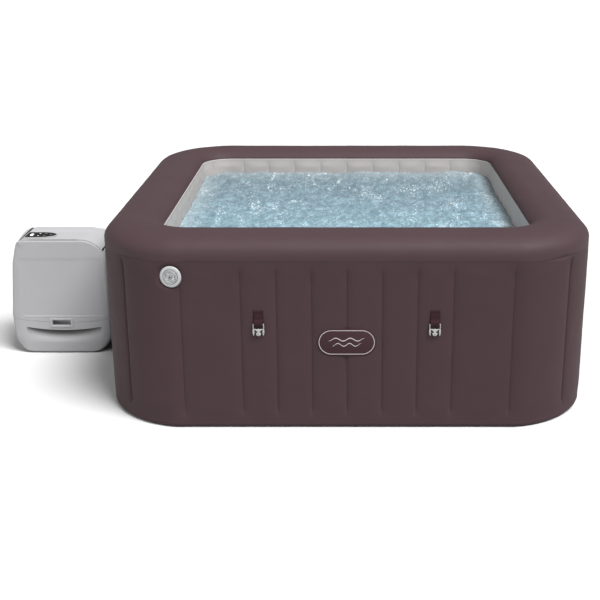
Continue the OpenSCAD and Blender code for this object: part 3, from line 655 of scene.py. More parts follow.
def bar(name, a, b, w, h, up, mat, body=ROOT, bevel=0.0004):
    """A straight bar with rounded edges from a to b, w wide across, h tall along up."""
    a, b, up = Vector(a), Vector(b), Vector(up).normalized()
    d = (b - a).normalized(); side = d.cross(up).normalized()
    c = min(bevel, w * 0.4, h * 0.4)
    sec = [(-w / 2 + c, -h / 2), (w / 2 - c, -h / 2), (w / 2, -h / 2 + c), (w / 2, h / 2 - c), (w / 2 - c, h / 2), (-w / 2 + c, h / 2), (-w / 2, h / 2 - c), (-w / 2, -h / 2 + c)]
    V = [a + side * x + up * y for x, y in sec] + [b + side * x + up * y for x, y in sec]
    F = [(i, (i + 1) % 8, 8 + (i + 1) % 8, 8 + i) for i in range(8)] + [tuple(range(8)), tuple(range(15, 7, -1))]
    ob = mesh_obj(name, V, F, mat, smooth=False, body=body)
    fix_normals(ob)
    return ob


def join(name, obs):
    """Joins meshes that ride on one body into one piece."""
    bpy.ops.object.select_all(action="DESELECT")
    for o in obs:
        o.select_set(True)
    bpy.context.view_layer.objects.active = obs[0]
    bpy.ops.object.join()
    obs[0].name = name; obs[0].data.name = name
    return obs[0]


vu = V_AX.orthogonal().normalized(); vv = V_AX.cross(vu)
sp = []
for i in range(8):
    a = i * math.pi / 4 + math.pi / 8
    dr = vu * math.cos(a) + vv * math.sin(a)
    sp.append(bar("sp%d" % i, vo + V_AX * 0.366 + dr * 0.0070, vo + V_AX * 0.366 + dr * 0.0203, 0.0030, 0.006, V_AX, M_VALVE))
sp = join("air_valve_spokes", sp)
lathe("air_valve_face", vo, V_AX, rounded([(0.3790, 0.0080), (0.3790, 0.0176), (0.3828, 0.0176), (0.3838, 0.0166), (0.3838, 0.0090), (0.3828, 0.0080)], 0.0005), M_VALVE)
sp2 = []
for i in range(4):
    a = i * math.pi / 2
    dr = vu * math.cos(a) + vv * math.sin(a)
    sp2.append(bar("sq%d" % i, vo + V_AX * 0.3838 + dr * 0.0088, vo + V_AX * 0.3838 + dr * 0.0192, 0.0052, 0.0034, V_AX, M_VALVE, bevel=0.0008))
sp2 = join("air_valve_ribs", sp2)
stem = [(0.3500, 0.0001), (0.3500, 0.0180), (0.3545, 0.0180), (0.3548, 0.0040), (0.3838, 0.0040), (0.3840, 0.0066), (0.3862, 0.0068), (0.3870, 0.0058), (0.3870, 0.0036), (0.3852, 0.0032), (0.3850, 0.0001)]
lathe("air_valve_stem", vo, V_AX, stem, M_VALVE, n=64, replaces=("air_valve_plunger",), body="air_valve_plunger", closed=False)
# painted shade: the stem's centre pit is dark
lathe("air_valve_pit", vo, V_AX, [(0.3850, 0.0001), (0.3850, 0.0034), (0.3869, 0.0037), (0.3873, 0.0040), (0.3873, 0.0034), (0.3857, 0.0030), (0.3854, 0.0001)], M_SHADE_DARK, n=32, body="air_valve_plunger", closed=False)


# ------------------------------------------------------------------ finishing CAD nodes
def give(node, mat):
    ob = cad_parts[node]
    ob.data.materials.clear()
    ob.data.materials.append(mat)


SETS = {
    M_SHEET: ["wall_baffles"], M_BASE: ["base_sheet"], M_LINER: ["floor_liner"],
    M_FIT: ["air_ring", "jet_housings", "jet_manifold", "wall_fittings", "filter_housing", "filter_cap", "pump_pipes"],
    M_VALVE: ["jet_nozzle_%d" % i for i in range(1, 7)] + ["filter_cartridge"],
    M_STEEL: ["air_valve_spring", "cover_screws", "heater_tube"], M_DRAIN: ["drain_body", "drain_cap"],
    M_NUT: ["union_nut_inlet", "union_nut_return", "union_nut_jets", "union_nut_air"],
    M_RUBBER: ["seals", "pump_feet"], M_TRAY: ["base_tray"], M_BTN: ["button_%d" % i for i in range(1, 6)],
    M_BOARD: ["control_board"], M_BOX: ["power_box", "cable_gland", "blower_case"], M_MOTOR: ["filter_pump", "jet_pump"],
    M_BRASS: ["filter_rotor", "jet_rotor"],
}
for mat, nodes in SETS.items():
    for nd in nodes:
        give(nd, mat)
give("blower_fan", M_STEEL)
for nd, mat in (("front_cover", M_PUMP), ("rear_cover", M_PUMP), ("top_console", M_PUMP), ("grip_inserts", M_PUMP_DARK), ("panel_glass", M_GLOSS),
                ("strap_patches", M_WEB), ("badge", M_BADGE), ("clip_front_left", M_CLIP), ("clip_front_right", M_CLIP),
                ("clip_back_left", M_CLIP), ("clip_back_right", M_CLIP)):
    give(nd, mat)


# ------------------------------------------------------------------ cutting helpers
def box_mesh(name, lo, hi):
    x0, y0, z0 = lo; x1, y1, z1 = hi
    V = [(x0, y0, z0), (x1, y0, z0), (x1, y1, z0), (x0, y1, z0), (x0, y0, z1), (x1, y0, z1), (x1, y1, z1), (x0, y1, z1)]
    F = [(0, 3, 2, 1), (4, 5, 6, 7), (0, 1, 5, 4), (1, 2, 6, 5), (2, 3, 7, 6), (3, 0, 4, 7)]
    me = bpy.data.meshes.new(name); me.from_pydata(V, [], F); me.update()
    return link(bpy.data.objects.new(name, me))


def prism_mesh(name, pts, axis_o, U, Vv, W, d0, d1):
    """A closed prism: 2-D points in the U, V plane, extruded along W from d0 to d1."""
    o = np.array(axis_o, float); U = np.array(U, float); Vv = np.array(Vv, float); W = np.array(W, float)
    P = np.array(pts, float)
    ring0 = o + P[:, :1] * U + P[:, 1:2] * Vv + W * d0
    ring1 = o + P[:, :1] * U + P[:, 1:2] * Vv + W * d1
    n = len(P)
    F = [(i, (i + 1) % n, n + (i + 1) % n, n + i) for i in range(n)] + [tuple(range(n - 1, -1, -1)), tuple(range(n, 2 * n))]
    me = bpy.data.meshes.new(name)
    me.from_pydata([tuple(v) for v in np.concatenate([ring0, ring1])], [], F); me.update()
    ob = link(bpy.data.objects.new(name, me))
    fix_normals(ob)
    return ob


def circle_pts(r, n=48, c=(0, 0)):
    return [(c[0] + r * math.cos(2 * math.pi * i / n), c[1] + r * math.sin(2 * math.pi * i / n)) for i in range(n)]


def cyl_cutter(name, centre, axis, r, d0, d1, n=48):
    a = Vector(axis).normalized(); u = a.orthogonal().normalized(); v = a.cross(u)
    return prism_mesh(name, circle_pts(r, n), centre, u, v, a, d0, d1)


def cut(ob, cutters, solver="MANIFOLD"):
    """Cuts every cutter out of ob and removes them."""
    for c in cutters:
        mod = ob.modifiers.new("cut", "BOOLEAN")
        mod.operation = "DIFFERENCE"; mod.object = c; mod.solver = solver
        bpy.context.view_layer.objects.active = ob
        bpy.ops.object.select_all(action="DESELECT"); ob.select_set(True)
        bpy.ops.object.modifier_apply(modifier=mod.name)
    for c in cutters:
        me = c.data
        bpy.data.objects.remove(c); bpy.data.meshes.remove(me)
    return ob


def merge(cutters, name="cutters"):
    bpy.ops.object.select_all(action="DESELECT")
    for c in cutters:
        c.select_set(True)
    bpy.context.view_layer.objects.active = cutters[0]
    bpy.ops.object.join()
    return cutters[0]


def shade_by_angle(ob, deg=35.0):
    """Smooth shading with hard edges where faces meet at more than deg."""
    import bmesh
    bm = bmesh.new(); bm.from_mesh(ob.data)
    lim = math.radians(deg)
    for e in bm.edges:
        if len(e.link_faces) == 2:
            e.smooth = e.calc_face_angle(0.0) < lim
        else:
            e.smooth = False
    for f in bm.faces:
        f.smooth = True
    bm.to_mesh(ob.data); bm.free()
    return ob


# holes through the skins for the valve, the drain and the pump's couplings
PORTS = [(-0.095, 0.210, 0.030), (0.095, 0.210, 0.030), (0.0, 0.330, 0.030), (0.0, 0.470, 0.024)]
holes = [cyl_cutter("h", V_C, V_AX, 0.031, 0.355, 0.400, 64)]
holes += [cyl_cutter("h", (0, y, z), (1, 0, 0), r + 0.0006, -1.02, -0.97, 64) for y, z, r in PORTS]
holes += [cyl_cutter("h", (0, 0.250, 0.075), (1, 0, 0), 0.0246, 0.97, 1.02, 64)]
cut(outer, [merge(holes)])
shade_by_angle(outer, 50)
holes = []
for k in range(3):
    ck, sk = round(math.cos(k * math.pi / 2)), round(math.sin(k * math.pi / 2))
    for x in (-0.348, 0.348):
        c = (x * ck + 0.764 * sk, x * sk - 0.764 * ck, 0.330)
        holes.append(cyl_cutter("h", c, (sk, -ck, 0), 0.0355, -0.03, 0.02, 48))
holes += [cyl_cutter("h", (0, y, z), (1, 0, 0), r + 0.0006, -0.79, -0.73, 48) for y, z, r in PORTS[:2]]
holes += [cyl_cutter("h", (0, 0, 0.019), (1, 0, 0), 0.0125, -0.79, -0.73, 32), cyl_cutter("h", (0, 0.250, 0.075), (1, 0, 0), 0.0246, 0.73, 0.79, 48)]
cut(liner, [merge(holes)])
shade_by_angle(liner, 50)


# ------------------------------------------------------------------ baffles inside the wall
def baffles():
    Vs, Fs = [], []
    zs = np.concatenate([np.linspace(0.036, 0.11, 8), np.linspace(0.16, 0.60, 8), np.linspace(0.62, 0.680, 8)])
    for k in range(4):
        for s in (0.0, 0.139, 0.278, 0.418, 0.654, OUT.q / 2, OUT.q - 0.654, OUT.q - 0.418, OUT.q - 0.278, OUT.q - 0.139):
            side = k if s < OUT.q / 2 else (k + 1) % 4
            off = min(s, OUT.q - s)
            if side == 3 and off < 0.15:
                continue
            i = int(np.argmin(np.abs(OUT.s - s) + 100 * (OUT.k != k)))
            c = np.array([OUT.cx[i], OUT.cy[i]]); n = np.array([OUT.nx[i], OUT.ny[i]]); t = np.array([-n[1], n[0]])
            valve = abs(np.dot(c + n * 0.378 - np.array([V_C[0], V_C[1]]) - np.array([V_AX[0], V_AX[1]]) * 0.378, t)) < 0.05 and c[0] < 0 and c[1] < 0
            base = len(Vs)
            for z in zs:
                w_out = float(wall_w(z)[i]) - 0.0062
                if valve and z > 0.60:
                    w_out = min(w_out, 0.940)
                for w, side_t in ((0.7668, -1), (w_out, -1), (w_out, 1), (0.7668, 1)):
                    p = c + n * (w - C0) + t * side_t * 0.0008
                    Vs.append((p[0], p[1], z))
            m = len(zs)
            for q in range(m - 1):
                for e in range(4):
                    a = base + q * 4 + e; b = base + q * 4 + (e + 1) % 4
                    Fs.append((a, b, b + 4, a + 4))
            Fs.append((base + 3, base + 2, base + 1, base)); e = base + (m - 1) * 4
            Fs.append((e, e + 1, e + 2, e + 3))
    ob = mesh_obj("wall_baffle_strips", Vs, Fs, M_SHEET, smooth=False, replaces=("wall_baffles",))
    fix_normals(ob)
    R2 = Ring([0.139, 0.278, 0.418, 0.654], 0.378, fine=(0.02,), coarse=0.03)
    rows_ = [(0.7672 + 0 * R2.u, 0.6825 + 0 * R2.u), (0.975 + 0 * R2.u, 0.6825 + 0 * R2.u), (0.975 + 0 * R2.u, 0.6841 + 0 * R2.u), (0.7672 + 0 * R2.u, 0.6841 + 0 * R2.u)]
    swept("rim_baffle", R2, rows_, M_SHEET)


baffles()

# ------------------------------------------------------------------ pump casing
HULL = [(-1.505, 0.515, 0.045), (-1.474, 0.430, 0.095), (-1.481, 0.190, 0.110), (-1.496, 0.094, 0.090), (-1.222, 0.104, 0.100), (-1.180, 0.200, 0.060), (-1.240, 0.445, 0.115)]
PHI = np.linspace(0, 2 * math.pi, 1441)[:-1]
CPH, SPH = np.cos(PHI), np.sin(PHI)


def outline(d=0.0, step=0.0015):
    """Points and outward normals round the casing's outline seen from the front, drawn in by d."""
    sup = np.array([cx * CPH + cz * SPH + (r - d) for cx, cz, r in HULL])
    k = np.argmax(sup, axis=0)
    C = np.array(HULL)[k]
    P = np.stack([C[:, 0] + (C[:, 2] - d) * CPH, C[:, 1] + (C[:, 2] - d) * SPH], -1)
    pts, nrm = [], []
    n = len(PHI)
    for i in range(n):
        a, b = P[i], P[(i + 1) % n]
        L = np.linalg.norm(b - a)
        m = max(1, int(math.ceil(L / step)))
        nn = np.array([CPH[i], SPH[i]]); n2 = np.array([CPH[(i + 1) % n], SPH[(i + 1) % n]])
        for j in range(m):
            t = j / m
            pts.append(a + (b - a) * t); q = nn * (1 - t) + n2 * t; nrm.append(q / np.linalg.norm(q))
    return np.array(pts), np.array(nrm)


def inside(x, z, d=0.0):
    """Distance in from the outline, and the outward normal of the nearest edge."""
    x = np.asarray(x, float); z = np.asarray(z, float)
    S = np.max(np.array([cx * CPH + cz * SPH + (r - d) for cx, cz, r in HULL]), axis=0)
    xf, zf = x.ravel(), z.ravel()
    best = np.full(xf.shape, 1e9); bi = np.zeros(xf.shape, int)
    for i0 in range(0, len(PHI), 48):
        g = S[i0:i0 + 48, None] - (np.outer(CPH[i0:i0 + 48], xf) + np.outer(SPH[i0:i0 + 48], zf))
        j = np.argmin(g, axis=0); v = g[j, np.arange(len(xf))]
        m = v < best
        best[m] = v[m]; bi[m] = i0 + j[m]
    return best.reshape(x.shape), CPH[bi].reshape(x.shape), SPH[bi].reshape(x.shape)


def side_x(z, d=0.0):
    """Left and right edge of the outline at height z."""
    P, _ = outline(d, 0.0008)
    zb, zt = P[:, 1].min(), P[:, 1].max()
    ib = int(np.argmin(P[:, 1])); it = int(np.argmax(P[:, 1]))
    n = len(P)
    # the points run anticlockwise from the right; split them at the lowest and highest point
    idx_r = [(ib + q) % n for q in range((it - ib) % n + 1)]
    idx_l = [(it + q) % n for q in range((ib - it) % n + 1)]
    R_, L_ = P[idx_r], P[idx_l][::-1]
    zz = np.clip(z, zb + 1e-7, zt - 1e-7)
    return np.interp(zz, L_[:, 1] + np.arange(len(L_)) * 1e-12, L_[:, 0]), np.interp(zz, R_[:, 1] + np.arange(len(R_)) * 1e-12, R_[:, 0])


XA, XB = -1.468, -1.252
FINE = np.array([0, .0003, .0010, .0020, .0034, .0052, .0075, .0102, .0135, .0175, .0225, .0285, .035])


def casing_rows(extra=None):
    z = list(0.004 + FINE) + list(np.arange(0.044, 0.100, 0.0028))
    z += list(np.arange(0.100, 0.1075, 0.0015)) + [0.1080, 0.1086, 0.1091, 0.1095, 0.1100, 0.1105, 0.1110, 0.112, 0.114] + list(np.arange(0.116, 0.1530, 0.0025))
    z += [0.1535, 0.1542, 0.1546, 0.1550, 0.1554, 0.1558, 0.1565] + list(np.arange(0.159, 0.184, 0.003)) + list(np.arange(0.185, 0.1965, 0.0014))
    z += list(np.arange(0.200, 0.458, 0.006)) + list(np.arange(0.460, 0.480, 0.0025)) + list(np.arange(0.483, 0.523, 0.004)) + list(0.560 - FINE[::-1])
    z = np.array(sorted(set(round(float(v), 6) for v in z)))
    keep = [0]
    for i in range(1, len(z)):
        if z[i] - z[keep[-1]] > 0.00025:
            keep.append(i)
    z = z[keep]; z[0] = 0.004; z[-1] = 0.560
    return z


def casing_grid(zrows, d=0.0):
    """(rows, columns) x and z of a grid that fills the outline drawn in by d."""
    zz = 0.004 + d + (zrows - 0.004) * (0.556 - 2 * d) / 0.556
    xl, xr = side_x(zz, d)
    gl = (np.arange(34) / 34.0) ** 1.75; gr = 1 - (np.arange(33, -1, -1) / 34.0) ** 1.75
    mid = np.linspace(XA, XB, 96)
    X = np.concatenate([xl[:, None] + (XA - xl[:, None]) * gl[None, :], np.repeat(mid[None, :], len(zz), 0), XB + (xr[:, None] - XB) * gr[None, :]], axis=1)
    Z = np.repeat(zz[:, None], X.shape[1], 1)
    return X, Z


def closed_shell(name, Xo, Yo, Zo, Xi, Yi, Zi, y_end, mat, slot, replaces, n_skirt=5, smooth_deg=32):
    """Two matching faces joined by a skirt that runs to y_end along the outline: a shell open on one side."""
    Rr, Cc = Xo.shape
    loop = [(0, j) for j in range(Cc)] + [(i, Cc - 1) for i in range(1, Rr)] + [(Rr - 1, j) for j in range(Cc - 2, -1, -1)] + [(i, 0) for i in range(Rr - 2, 0, -1)]
    li = np.array([p[0] for p in loop]); lj = np.array([p[1] for p in loop])
    Vs = [np.stack([Xo, Yo, Zo], -1).reshape(-1, 3)]
    off = Rr * Cc
    bo = np.stack([Xo[li, lj], Yo[li, lj], Zo[li, lj]], -1); bi_ = np.stack([Xi[li, lj], Yi[li, lj], Zi[li, lj]], -1)
    ye = y_end(bo[:, 0], bo[:, 2])
    rings = []
    m = len(loop)
    for q in range(1, n_skirt + 1):
        t = q / n_skirt
        r = bo.copy(); r[:, 1] = bo[:, 1] + (ye - bo[:, 1]) * t
        rings.append(r)
    for q in range(n_skirt, 0, -1):
        t = q / n_skirt
        r = bi_.copy(); r[:, 1] = bi_[:, 1] + (ye - bi_[:, 1]) * t
        rings.append(r)
    Vs += rings
    Vs.append(np.stack([Xi, Yi, Zi], -1).reshape(-1, 3))
    V = np.concatenate(Vs)
    F = [tuple(f) for f in grid_faces(Rr, Cc)]
    o_idx = li * Cc + lj
    starts = [o_idx] + [off + q * m + np.arange(m) for q in range(len(rings))]
    i_off = off + len(rings) * m
    starts.append(i_off + li * Cc + lj)
    for A, B in zip(starts[:-1], starts[1:]):
        A2, B2 = np.roll(A, -1), np.roll(B, -1)
        F += [tuple(f) for f in np.stack([A, B, B2, A2], -1)]
    F += [tuple(f[::-1]) for f in grid_faces(Rr, Cc, off=i_off)]
    me = bpy.data.meshes.new(name)
    me.from_pydata([tuple(map(float, v)) for v in V], [], [tuple(map(int, f)) for f in F])
    me.update()
    import bmesh
    bm = bmesh.new(); bm.from_mesh(me)
    bmesh.ops.remove_doubles(bm, verts=bm.verts, dist=1e-6)
    bmesh.ops.recalc_face_normals(bm, faces=bm.faces)
    bm.to_mesh(me); bm.free()
    ob = link(bpy.data.objects.new(name, me))
    me.materials.append(mat)
    return ob


def fillet(e, R):
    e = np.clip(e, 0, None)
    t = np.clip(1 - e / R, 0, 1)
    return R * (1 - np.sqrt(np.clip(1 - t * t, 0, 1)))


ZR = casing_rows()
FRONT_Y = -0.184
XM, XH = -1.3455, 0.1815          # middle and half-length of the hand recess


def front_face(X, Z0):
    """Y of the front cover's face. Z0 is the height before the rows are bent to follow the curved lines."""
    t = (X - XM) / XH
    sag = np.interp(Z0, [0.045, 0.110, 0.155, 0.200], [0.0, 0.016, 0.011, 0.0])
    rise = np.interp(Z0, [0.045, 0.110, 0.155], [0.0, 0.0065, 0.0])
    Zw = Z0 + rise * sstep(0.02, 0.05, inside(X, Z0)[0] + 0.03) + sag * np.clip(np.abs(t), 0, 1.25) ** 2 * sstep(0.02, 0.05, inside(X, Z0)[0] + 0.03)
    e, nx, nz = inside(X, Zw)
    up = np.clip(nz, 0, 1) ** 2; low = np.clip(-nz, 0, 1) ** 2
    R = 0.014 + (0.008 - 0.014) * sstep(0.0, 0.75, up) + (0.007 - 0.014) * sstep(0.3, 0.95, low)
    dep = fillet(e, R)
    # a shallow outer band that turns away to the sides
    dep = dep + 0.0095 * np.clip(1 - e / 0.044, 0, 1) ** 1.7 * (1 - sstep(0.15, 0.8, up)) * (1 - 0.9 * sstep(0.3, 0.95, low))
    # a slight crown across the face
    dep = dep + 0.0045 * np.abs((X + 1.350) / 0.23) ** 2.6
    # shallow inset panel
    pz = sstep(0.1865, 0.1925, Zw) * (1 - sstep(0.458, 0.478, Zw)); px = sstep(-1.538, -1.522, X) * (1 - sstep(-1.150, -1.134, X))
    dep = dep + 0.0010 * pz * px
    dep = dep - 0.0006 * np.exp(-((Zw - 0.1845) / 0.003) ** 2) * px
    # seam that sags across the full width
    dep = dep + 0.0022 * np.exp(-((Z0 - 0.155) / 0.0008) ** 2) * sstep(0.002, 0.012, e)
    # hand recess under a smiling lip
    tt = np.clip(1 - t * t, 0, 1)
    D = 0.024 * tt ** 1.1
    s = np.clip((0.1100 - Z0) / 0.056, 0, 1)
    lip = sstep(0.1108, 0.1080, Z0) if False else np.clip((0.1106 - Z0) / 0.0024, 0, 1) ** 0.7
    dep = dep + D * lip * np.cos(math.pi / 2 * s) ** 1.7
    return dep, Zw, e


Xf, Zf0 = casing_grid(ZR)
depf, Zf, ef = front_face(Xf, Zf0)
Yf = FRONT_Y + depf
Xi, Zi0 = casing_grid(ZR, 0.003)
Zi = Zi0 + (Zf - Zf0)
Yi = Yf + 0.003


def front_end(x, z):
    top = (z > 0.5005) & (x > -1.5262)
    return np.where(top, FRONT_Y + 0.0152, -0.1283)


front = closed_shell("front_cover_shell", Xf, Yf, Zf, Xi, np.minimum(Yi, -0.1300), Zi, front_end, M_PUMP, "casing_grey", ("front_cover",))
cut(front, [box_mesh("c", (-1.403, -0.21, 0.138), (-1.308, -0.150, 0.168))])
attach(front, ROOT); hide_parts("front_cover")
shade_by_angle(front, 30)
front.data.materials.clear()
for m_ in (M_PUMP, M_LIP_SHADE, M_RECESS_SHADE):
    front.data.materials.append(m_)
front.data.polygons.foreach_set("material_index", [0] * len(front.data.polygons))
for f_ in front.data.polygons:
    c_ = f_.center
    # painted shade: the lip's top strip and the upward-facing part of its rounding take the darker lip material
    if c_.z > 0.500 and c_.x > -1.522 and -0.183 < c_.y < -0.1660 and f_.normal.z > 0.0 and abs(f_.normal.y) < 0.60:
        f_.material_index = 1
    # painted shade: faces in the hand recess take the recess material, darker under the lip
    elif 0.044 < c_.z < 0.1168 + 0.016 * ((c_.x - XM) / XH) ** 2 and abs((c_.x - XM) / XH) < 1.0 and c_.y > FRONT_Y + 0.0012 + 0.0045 * abs((c_.x + 1.350) / 0.23) ** 2.6 and c_.y < -0.132 and float(inside(np.array([c_.x]), np.array([c_.z]))[0][0]) > 0.024:
        f_.material_index = 2


# pocket: a raised frame and a tub behind it
def frame_ring(name, outer_box, inner_box, y0, y1, bev, mat, back=None):
    """A rectangular frame in the XZ plane from y0 (front) to y1 (back), with rounded edges; back closes it with a tub."""
    (xo0, zo0, xo1, zo1), (xi0, zi0, xi1, zi1) = outer_box, inner_box

    def rr(x0, z0, x1, z1, r, n=5):
        pts = []
        for cx, cz, a0 in ((x1 - r, z1 - r, 0), (x0 + r, z1 - r, 90), (x0 + r, z0 + r, 180), (x1 - r, z0 + r, 270)):
            for i in range(n + 1):
                a = math.radians(a0 + 90 * i / n)
                pts.append((cx + r * math.cos(a), cz + r * math.sin(a)))
        return np.array(pts)
    loops = []

    def add(x0, z0, x1, z1, r, y):
        p = rr(x0, z0, x1, z1, max(r, 0.0004))
        loops.append(np.stack([p[:, 0], np.full(len(p), y), p[:, 1]], -1))
    b = bev
    add(xo0, zo0, xo1, zo1, 0.003, y1)
    add(xo0, zo0, xo1, zo1, 0.003, y0 + b)
    add(xo0 + b * .3, zo0 + b * .3, xo1 - b * .3, zo1 - b * .3, 0.0028, y0 + b * .3)
    add(xo0 + b, zo0 + b, xo1 - b, zo1 - b, 0.0024, y0)
    add(xi0 - b, zi0 - b, xi1 + b, zi1 + b, 0.0022, y0)
    add(xi0 - b * .3, zi0 - b * .3, xi1 + b * .3, zi1 + b * .3, 0.0018, y0 + b * .3)
    add(xi0, zi0, xi1, zi1, 0.0015, y0 + b)
    nseg = len(loops[0])
    if back is not None:
        add(xi0, zi0, xi1, zi1, 0.0015, back - 0.003)
        add(xi0 + .002, zi0 + .002, xi1 - .002, zi1 - .002, 0.0015, back)
    V = np.concatenate(loops)
    nl = len(loops)
    F = [tuple(f) for f in grid_faces(nl, nseg, False, True)]
    if back is not None:
        e = (nl - 1) * nseg
        F.append(tuple(range(e, e + nseg)))
        # the outside of the tub
        base = len(V)
        ex = []
        for (x0, z0, x1, z1, y) in ((xi0 - .0025, zi0 - .0025, xi1 + .0025, zi1 + .0025, back + .0025), (xi0 - .0025, zi0 - .0025, xi1 + .0025, zi1 + .0025, y1)):
            p = rr(x0, z0, x1, z1, 0.002)
            ex.append(np.stack([p[:, 0], np.full(len(p), y), p[:, 1]], -1))
        V = np.concatenate([V] + ex)
        F.append(tuple(range(base, base + nseg))[::-1])
        F += [tuple(f) for f in grid_faces(2, nseg, False, True, off=base)]
        for i in range(nseg):
            F.append((base + nseg + i, base + nseg + (i + 1) % nseg, (i + 1) % nseg, i))
    else:
        for i in range(nseg):
            e = (nl - 1) * nseg
            F.append((e + i, e + (i + 1) % nseg, (i + 1) % nseg, i))
    ob = mesh_obj(name, V, F, mat)
    fix_normals(ob)
    shade_by_angle(ob, 40)
    return ob


YP = FRONT_Y
pocket = frame_ring("pocket_tub", (-1.4095, 0.1290, -1.3015, 0.1765), (-1.3985, 0.1405, -1.3125, 0.1665), YP - 0.0020, YP + 0.0016, 0.0012, M_PUMP, back=-0.1560)
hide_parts("grip_inserts")


# rear cover
def side_back(z, d=0.0):
    """Y of the back of the casing at height z, drawn in by d: flat, with a deep curve at the top."""
    z = np.asarray(z, float)
    return np.where(z > 0.44, 0.04 + np.sqrt(np.clip((0.12 - d) ** 2 - (np.clip(z, 0.44, None) - 0.44) ** 2, 0, None)), 0.160 - d)


Xr, Zr = casing_grid(ZR)
er, _, _ = inside(Xr, Zr)
Yr = side_back(Zr)
Yr = np.maximum(Yr - fillet(er, 0.016) * sstep(0.0, 0.08, Yr - 0.03), -0.02)
Xri, Zri = casing_grid(ZR, 0.003)
eri, _, _ = inside(Xri, Zri, 0.003)
Yri = side_back(Zri, 0.003)
Yri = np.maximum(Yri - fillet(eri, 0.013) * sstep(0.0, 0.08, Yri - 0.03), -0.02)
rear = closed_shell("rear_cover_shell", Xr, Yr, Zr, Xri, Yri, Zri, lambda x, z: np.full(len(x), -0.1277), M_PUMP, "casing_grey", ("rear_cover",), n_skirt=14)
for v_ in rear.data.vertices:
    x_, y_, z_ = v_.co
    k_ = float(sstep(0.40, 0.50, z_) * sstep(-1.490, -1.532, x_)) if x_ < -1.49 else 0.0
    if k_ > 0:
        k_ *= max(0.0, math.sin(math.pi * min(1.0, max(0.0, (y_ + 0.128) / 0.285)))) ** 0.75
        v_.co.x = x_ - 0.0085 * k_; v_.co.z = z_ + 0.0045 * k_ * float(1 - sstep(0.552, 0.560, z_))
    if x_ < -1.46 and z_ > 0.50 and y_ > 0.0:
        v_.co.z -= 0.0060 * float(sstep(0.0, 0.14, y_) * sstep(-1.46, -1.535, x_))
cut(rear, [box_mesh("c", (-1.526, -0.168, 0.500), (-1.0, 0.110, 0.62))])
cutters = [box_mesh("c", (-1.343 + 0.014 * i, 0.12, 0.300), (-1.337 + 0.014 * i, 0.20, 0.380)) for i in range(-5, 6)]
cutters += [cyl_cutter("c", (0, y, z), (1, 0, 0), r + 0.0006, -1.165, -1.09, 64) for y, z, r in PORTS]
cutters += [cyl_cutter("c", (-1.440, 0, 0.090), (0, 1, 0), 0.0107, 0.12, 0.20, 48)]
cut(rear, [merge(cutters)])
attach(rear, ROOT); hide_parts("rear_cover")
shade_by_angle(rear, 30)


# top console: a sheet that follows the outline, 4 mm below the covers
def console():
    d = 0.004
    P, Nn = outline(d, 0.003)
    # from the left end of the top, over the right shoulder, down to z = 0.505
    top = [i for i in range(len(P)) if P[i, 1] > 0.505 and P[i, 0] > -1.5252]
    top = sorted(top, key=lambda i: (P[i, 0] if Nn[i, 1] > 0.999 else (P[i, 0] + (0.6 - P[i, 1]))))
    order = []
    pts = sorted([(math.atan2(Nn[i, 1], Nn[i, 0]), i) for i in top], key=lambda q: -q[0])
    # sort by outline angle, then by x for points that share one
    idx = [i for _, i in sorted([(round(-a, 5), i) for a, i in pts], key=lambda q: (q[0], P[q[1], 0]))]
    Q, M = P[idx], Nn[idx]
    ys = np.concatenate([[-0.1675, -0.1673, -0.1667, -0.1658], np.linspace(-0.162, 0.040, 42), np.linspace(0.046, 0.1085, 18), [0.1090, 0.1095]])
    n, m = len(Q), len(ys)

    def layer(off):
        U = Q - M * off
        X = np.repeat(U[:, :1], m, 1); Z = np.repeat(U[:, 1:2], m, 1); Y = np.repeat(ys[None, :], n, 0)
        H = np.where(Y > 0.04, 0.44 + np.sqrt(np.clip((0.12 - d - off) ** 2 - (np.clip(Y, 0.04, None) - 0.04) ** 2, 0, None)), 0.560 - d - off)
        k = 0.004
        h = np.clip(0.5 + 0.5 * (Z - H) / k, 0, 1)
        Zs = Z * (1 - h) + H * h - k * h * (1 - h)
        return X, Y, np.where(Z > H - k, Zs, Z)
    X, Y, Z = layer(0.0)
    crown_ = 0.0045 * sstep(-0.028, 0.020, Y) * (1 - sstep(0.072, 0.106, Y)) * sstep(-1.525, -1.500, X) * (1 - sstep(-1.24, -1.20, X))
    Z = Z + crown_
    # rounded front, back and end edges
    ed = np.minimum(Y - ys[0], ys[-1] - Y)
    arc = np.concatenate([[0], np.cumsum(np.linalg.norm(np.diff(Q, axis=0), axis=1))])
    ea = np.minimum(arc, arc[-1] - arc)[:, None]
    dr = fillet(np.minimum(ed, ea), 0.0014)
    X = X - M[:, :1] * dr; Z = Z - M[:, 1:2] * dr
    Xi_, Yi_, Zi_ = layer(0.0034)
    V = np.concatenate([np.stack([X, Y, Z], -1).reshape(-1, 3), np.stack([Xi_, Yi_, Zi_], -1).reshape(-1, 3)])
    F = [tuple(f) for f in grid_faces(n, m)] + [tuple(f[::-1]) for f in grid_faces(n, m, off=n * m)]
    loop = [(0, j) for j in range(m)] + [(i, m - 1) for i in range(1, n)] + [(n - 1, j) for j in range(m - 2, -1, -1)] + [(i, 0) for i in range(n - 2, 0, -1)]
    for a, b in zip(loop, loop[1:] + loop[:1]):
        A, B = a[0] * m + a[1], b[0] * m + b[1]
        F.append((A, B, B + n * m, A + n * m))
    ob = mesh_obj("top_console_shell", V, F, M_PUMP, replaces=("top_console",))
    fix_normals(ob)
    cs = [cyl_cutter("c", (x, y, 0), (0, 0, 1), 0.0074, 0.54, 0.57, 40) for x, y in BTN] + [box_mesh("c", (-1.506, -0.108, 0.54), (-1.476, -0.052, 0.57))]
    cut(ob, [merge(cs)])
    shade_by_angle(ob, 30)
    return ob


BTN = [(-1.454, -0.100), (-1.454, -0.060), (-1.426, -0.100), (-1.426, -0.060), (-1.399, -0.080)]
console()


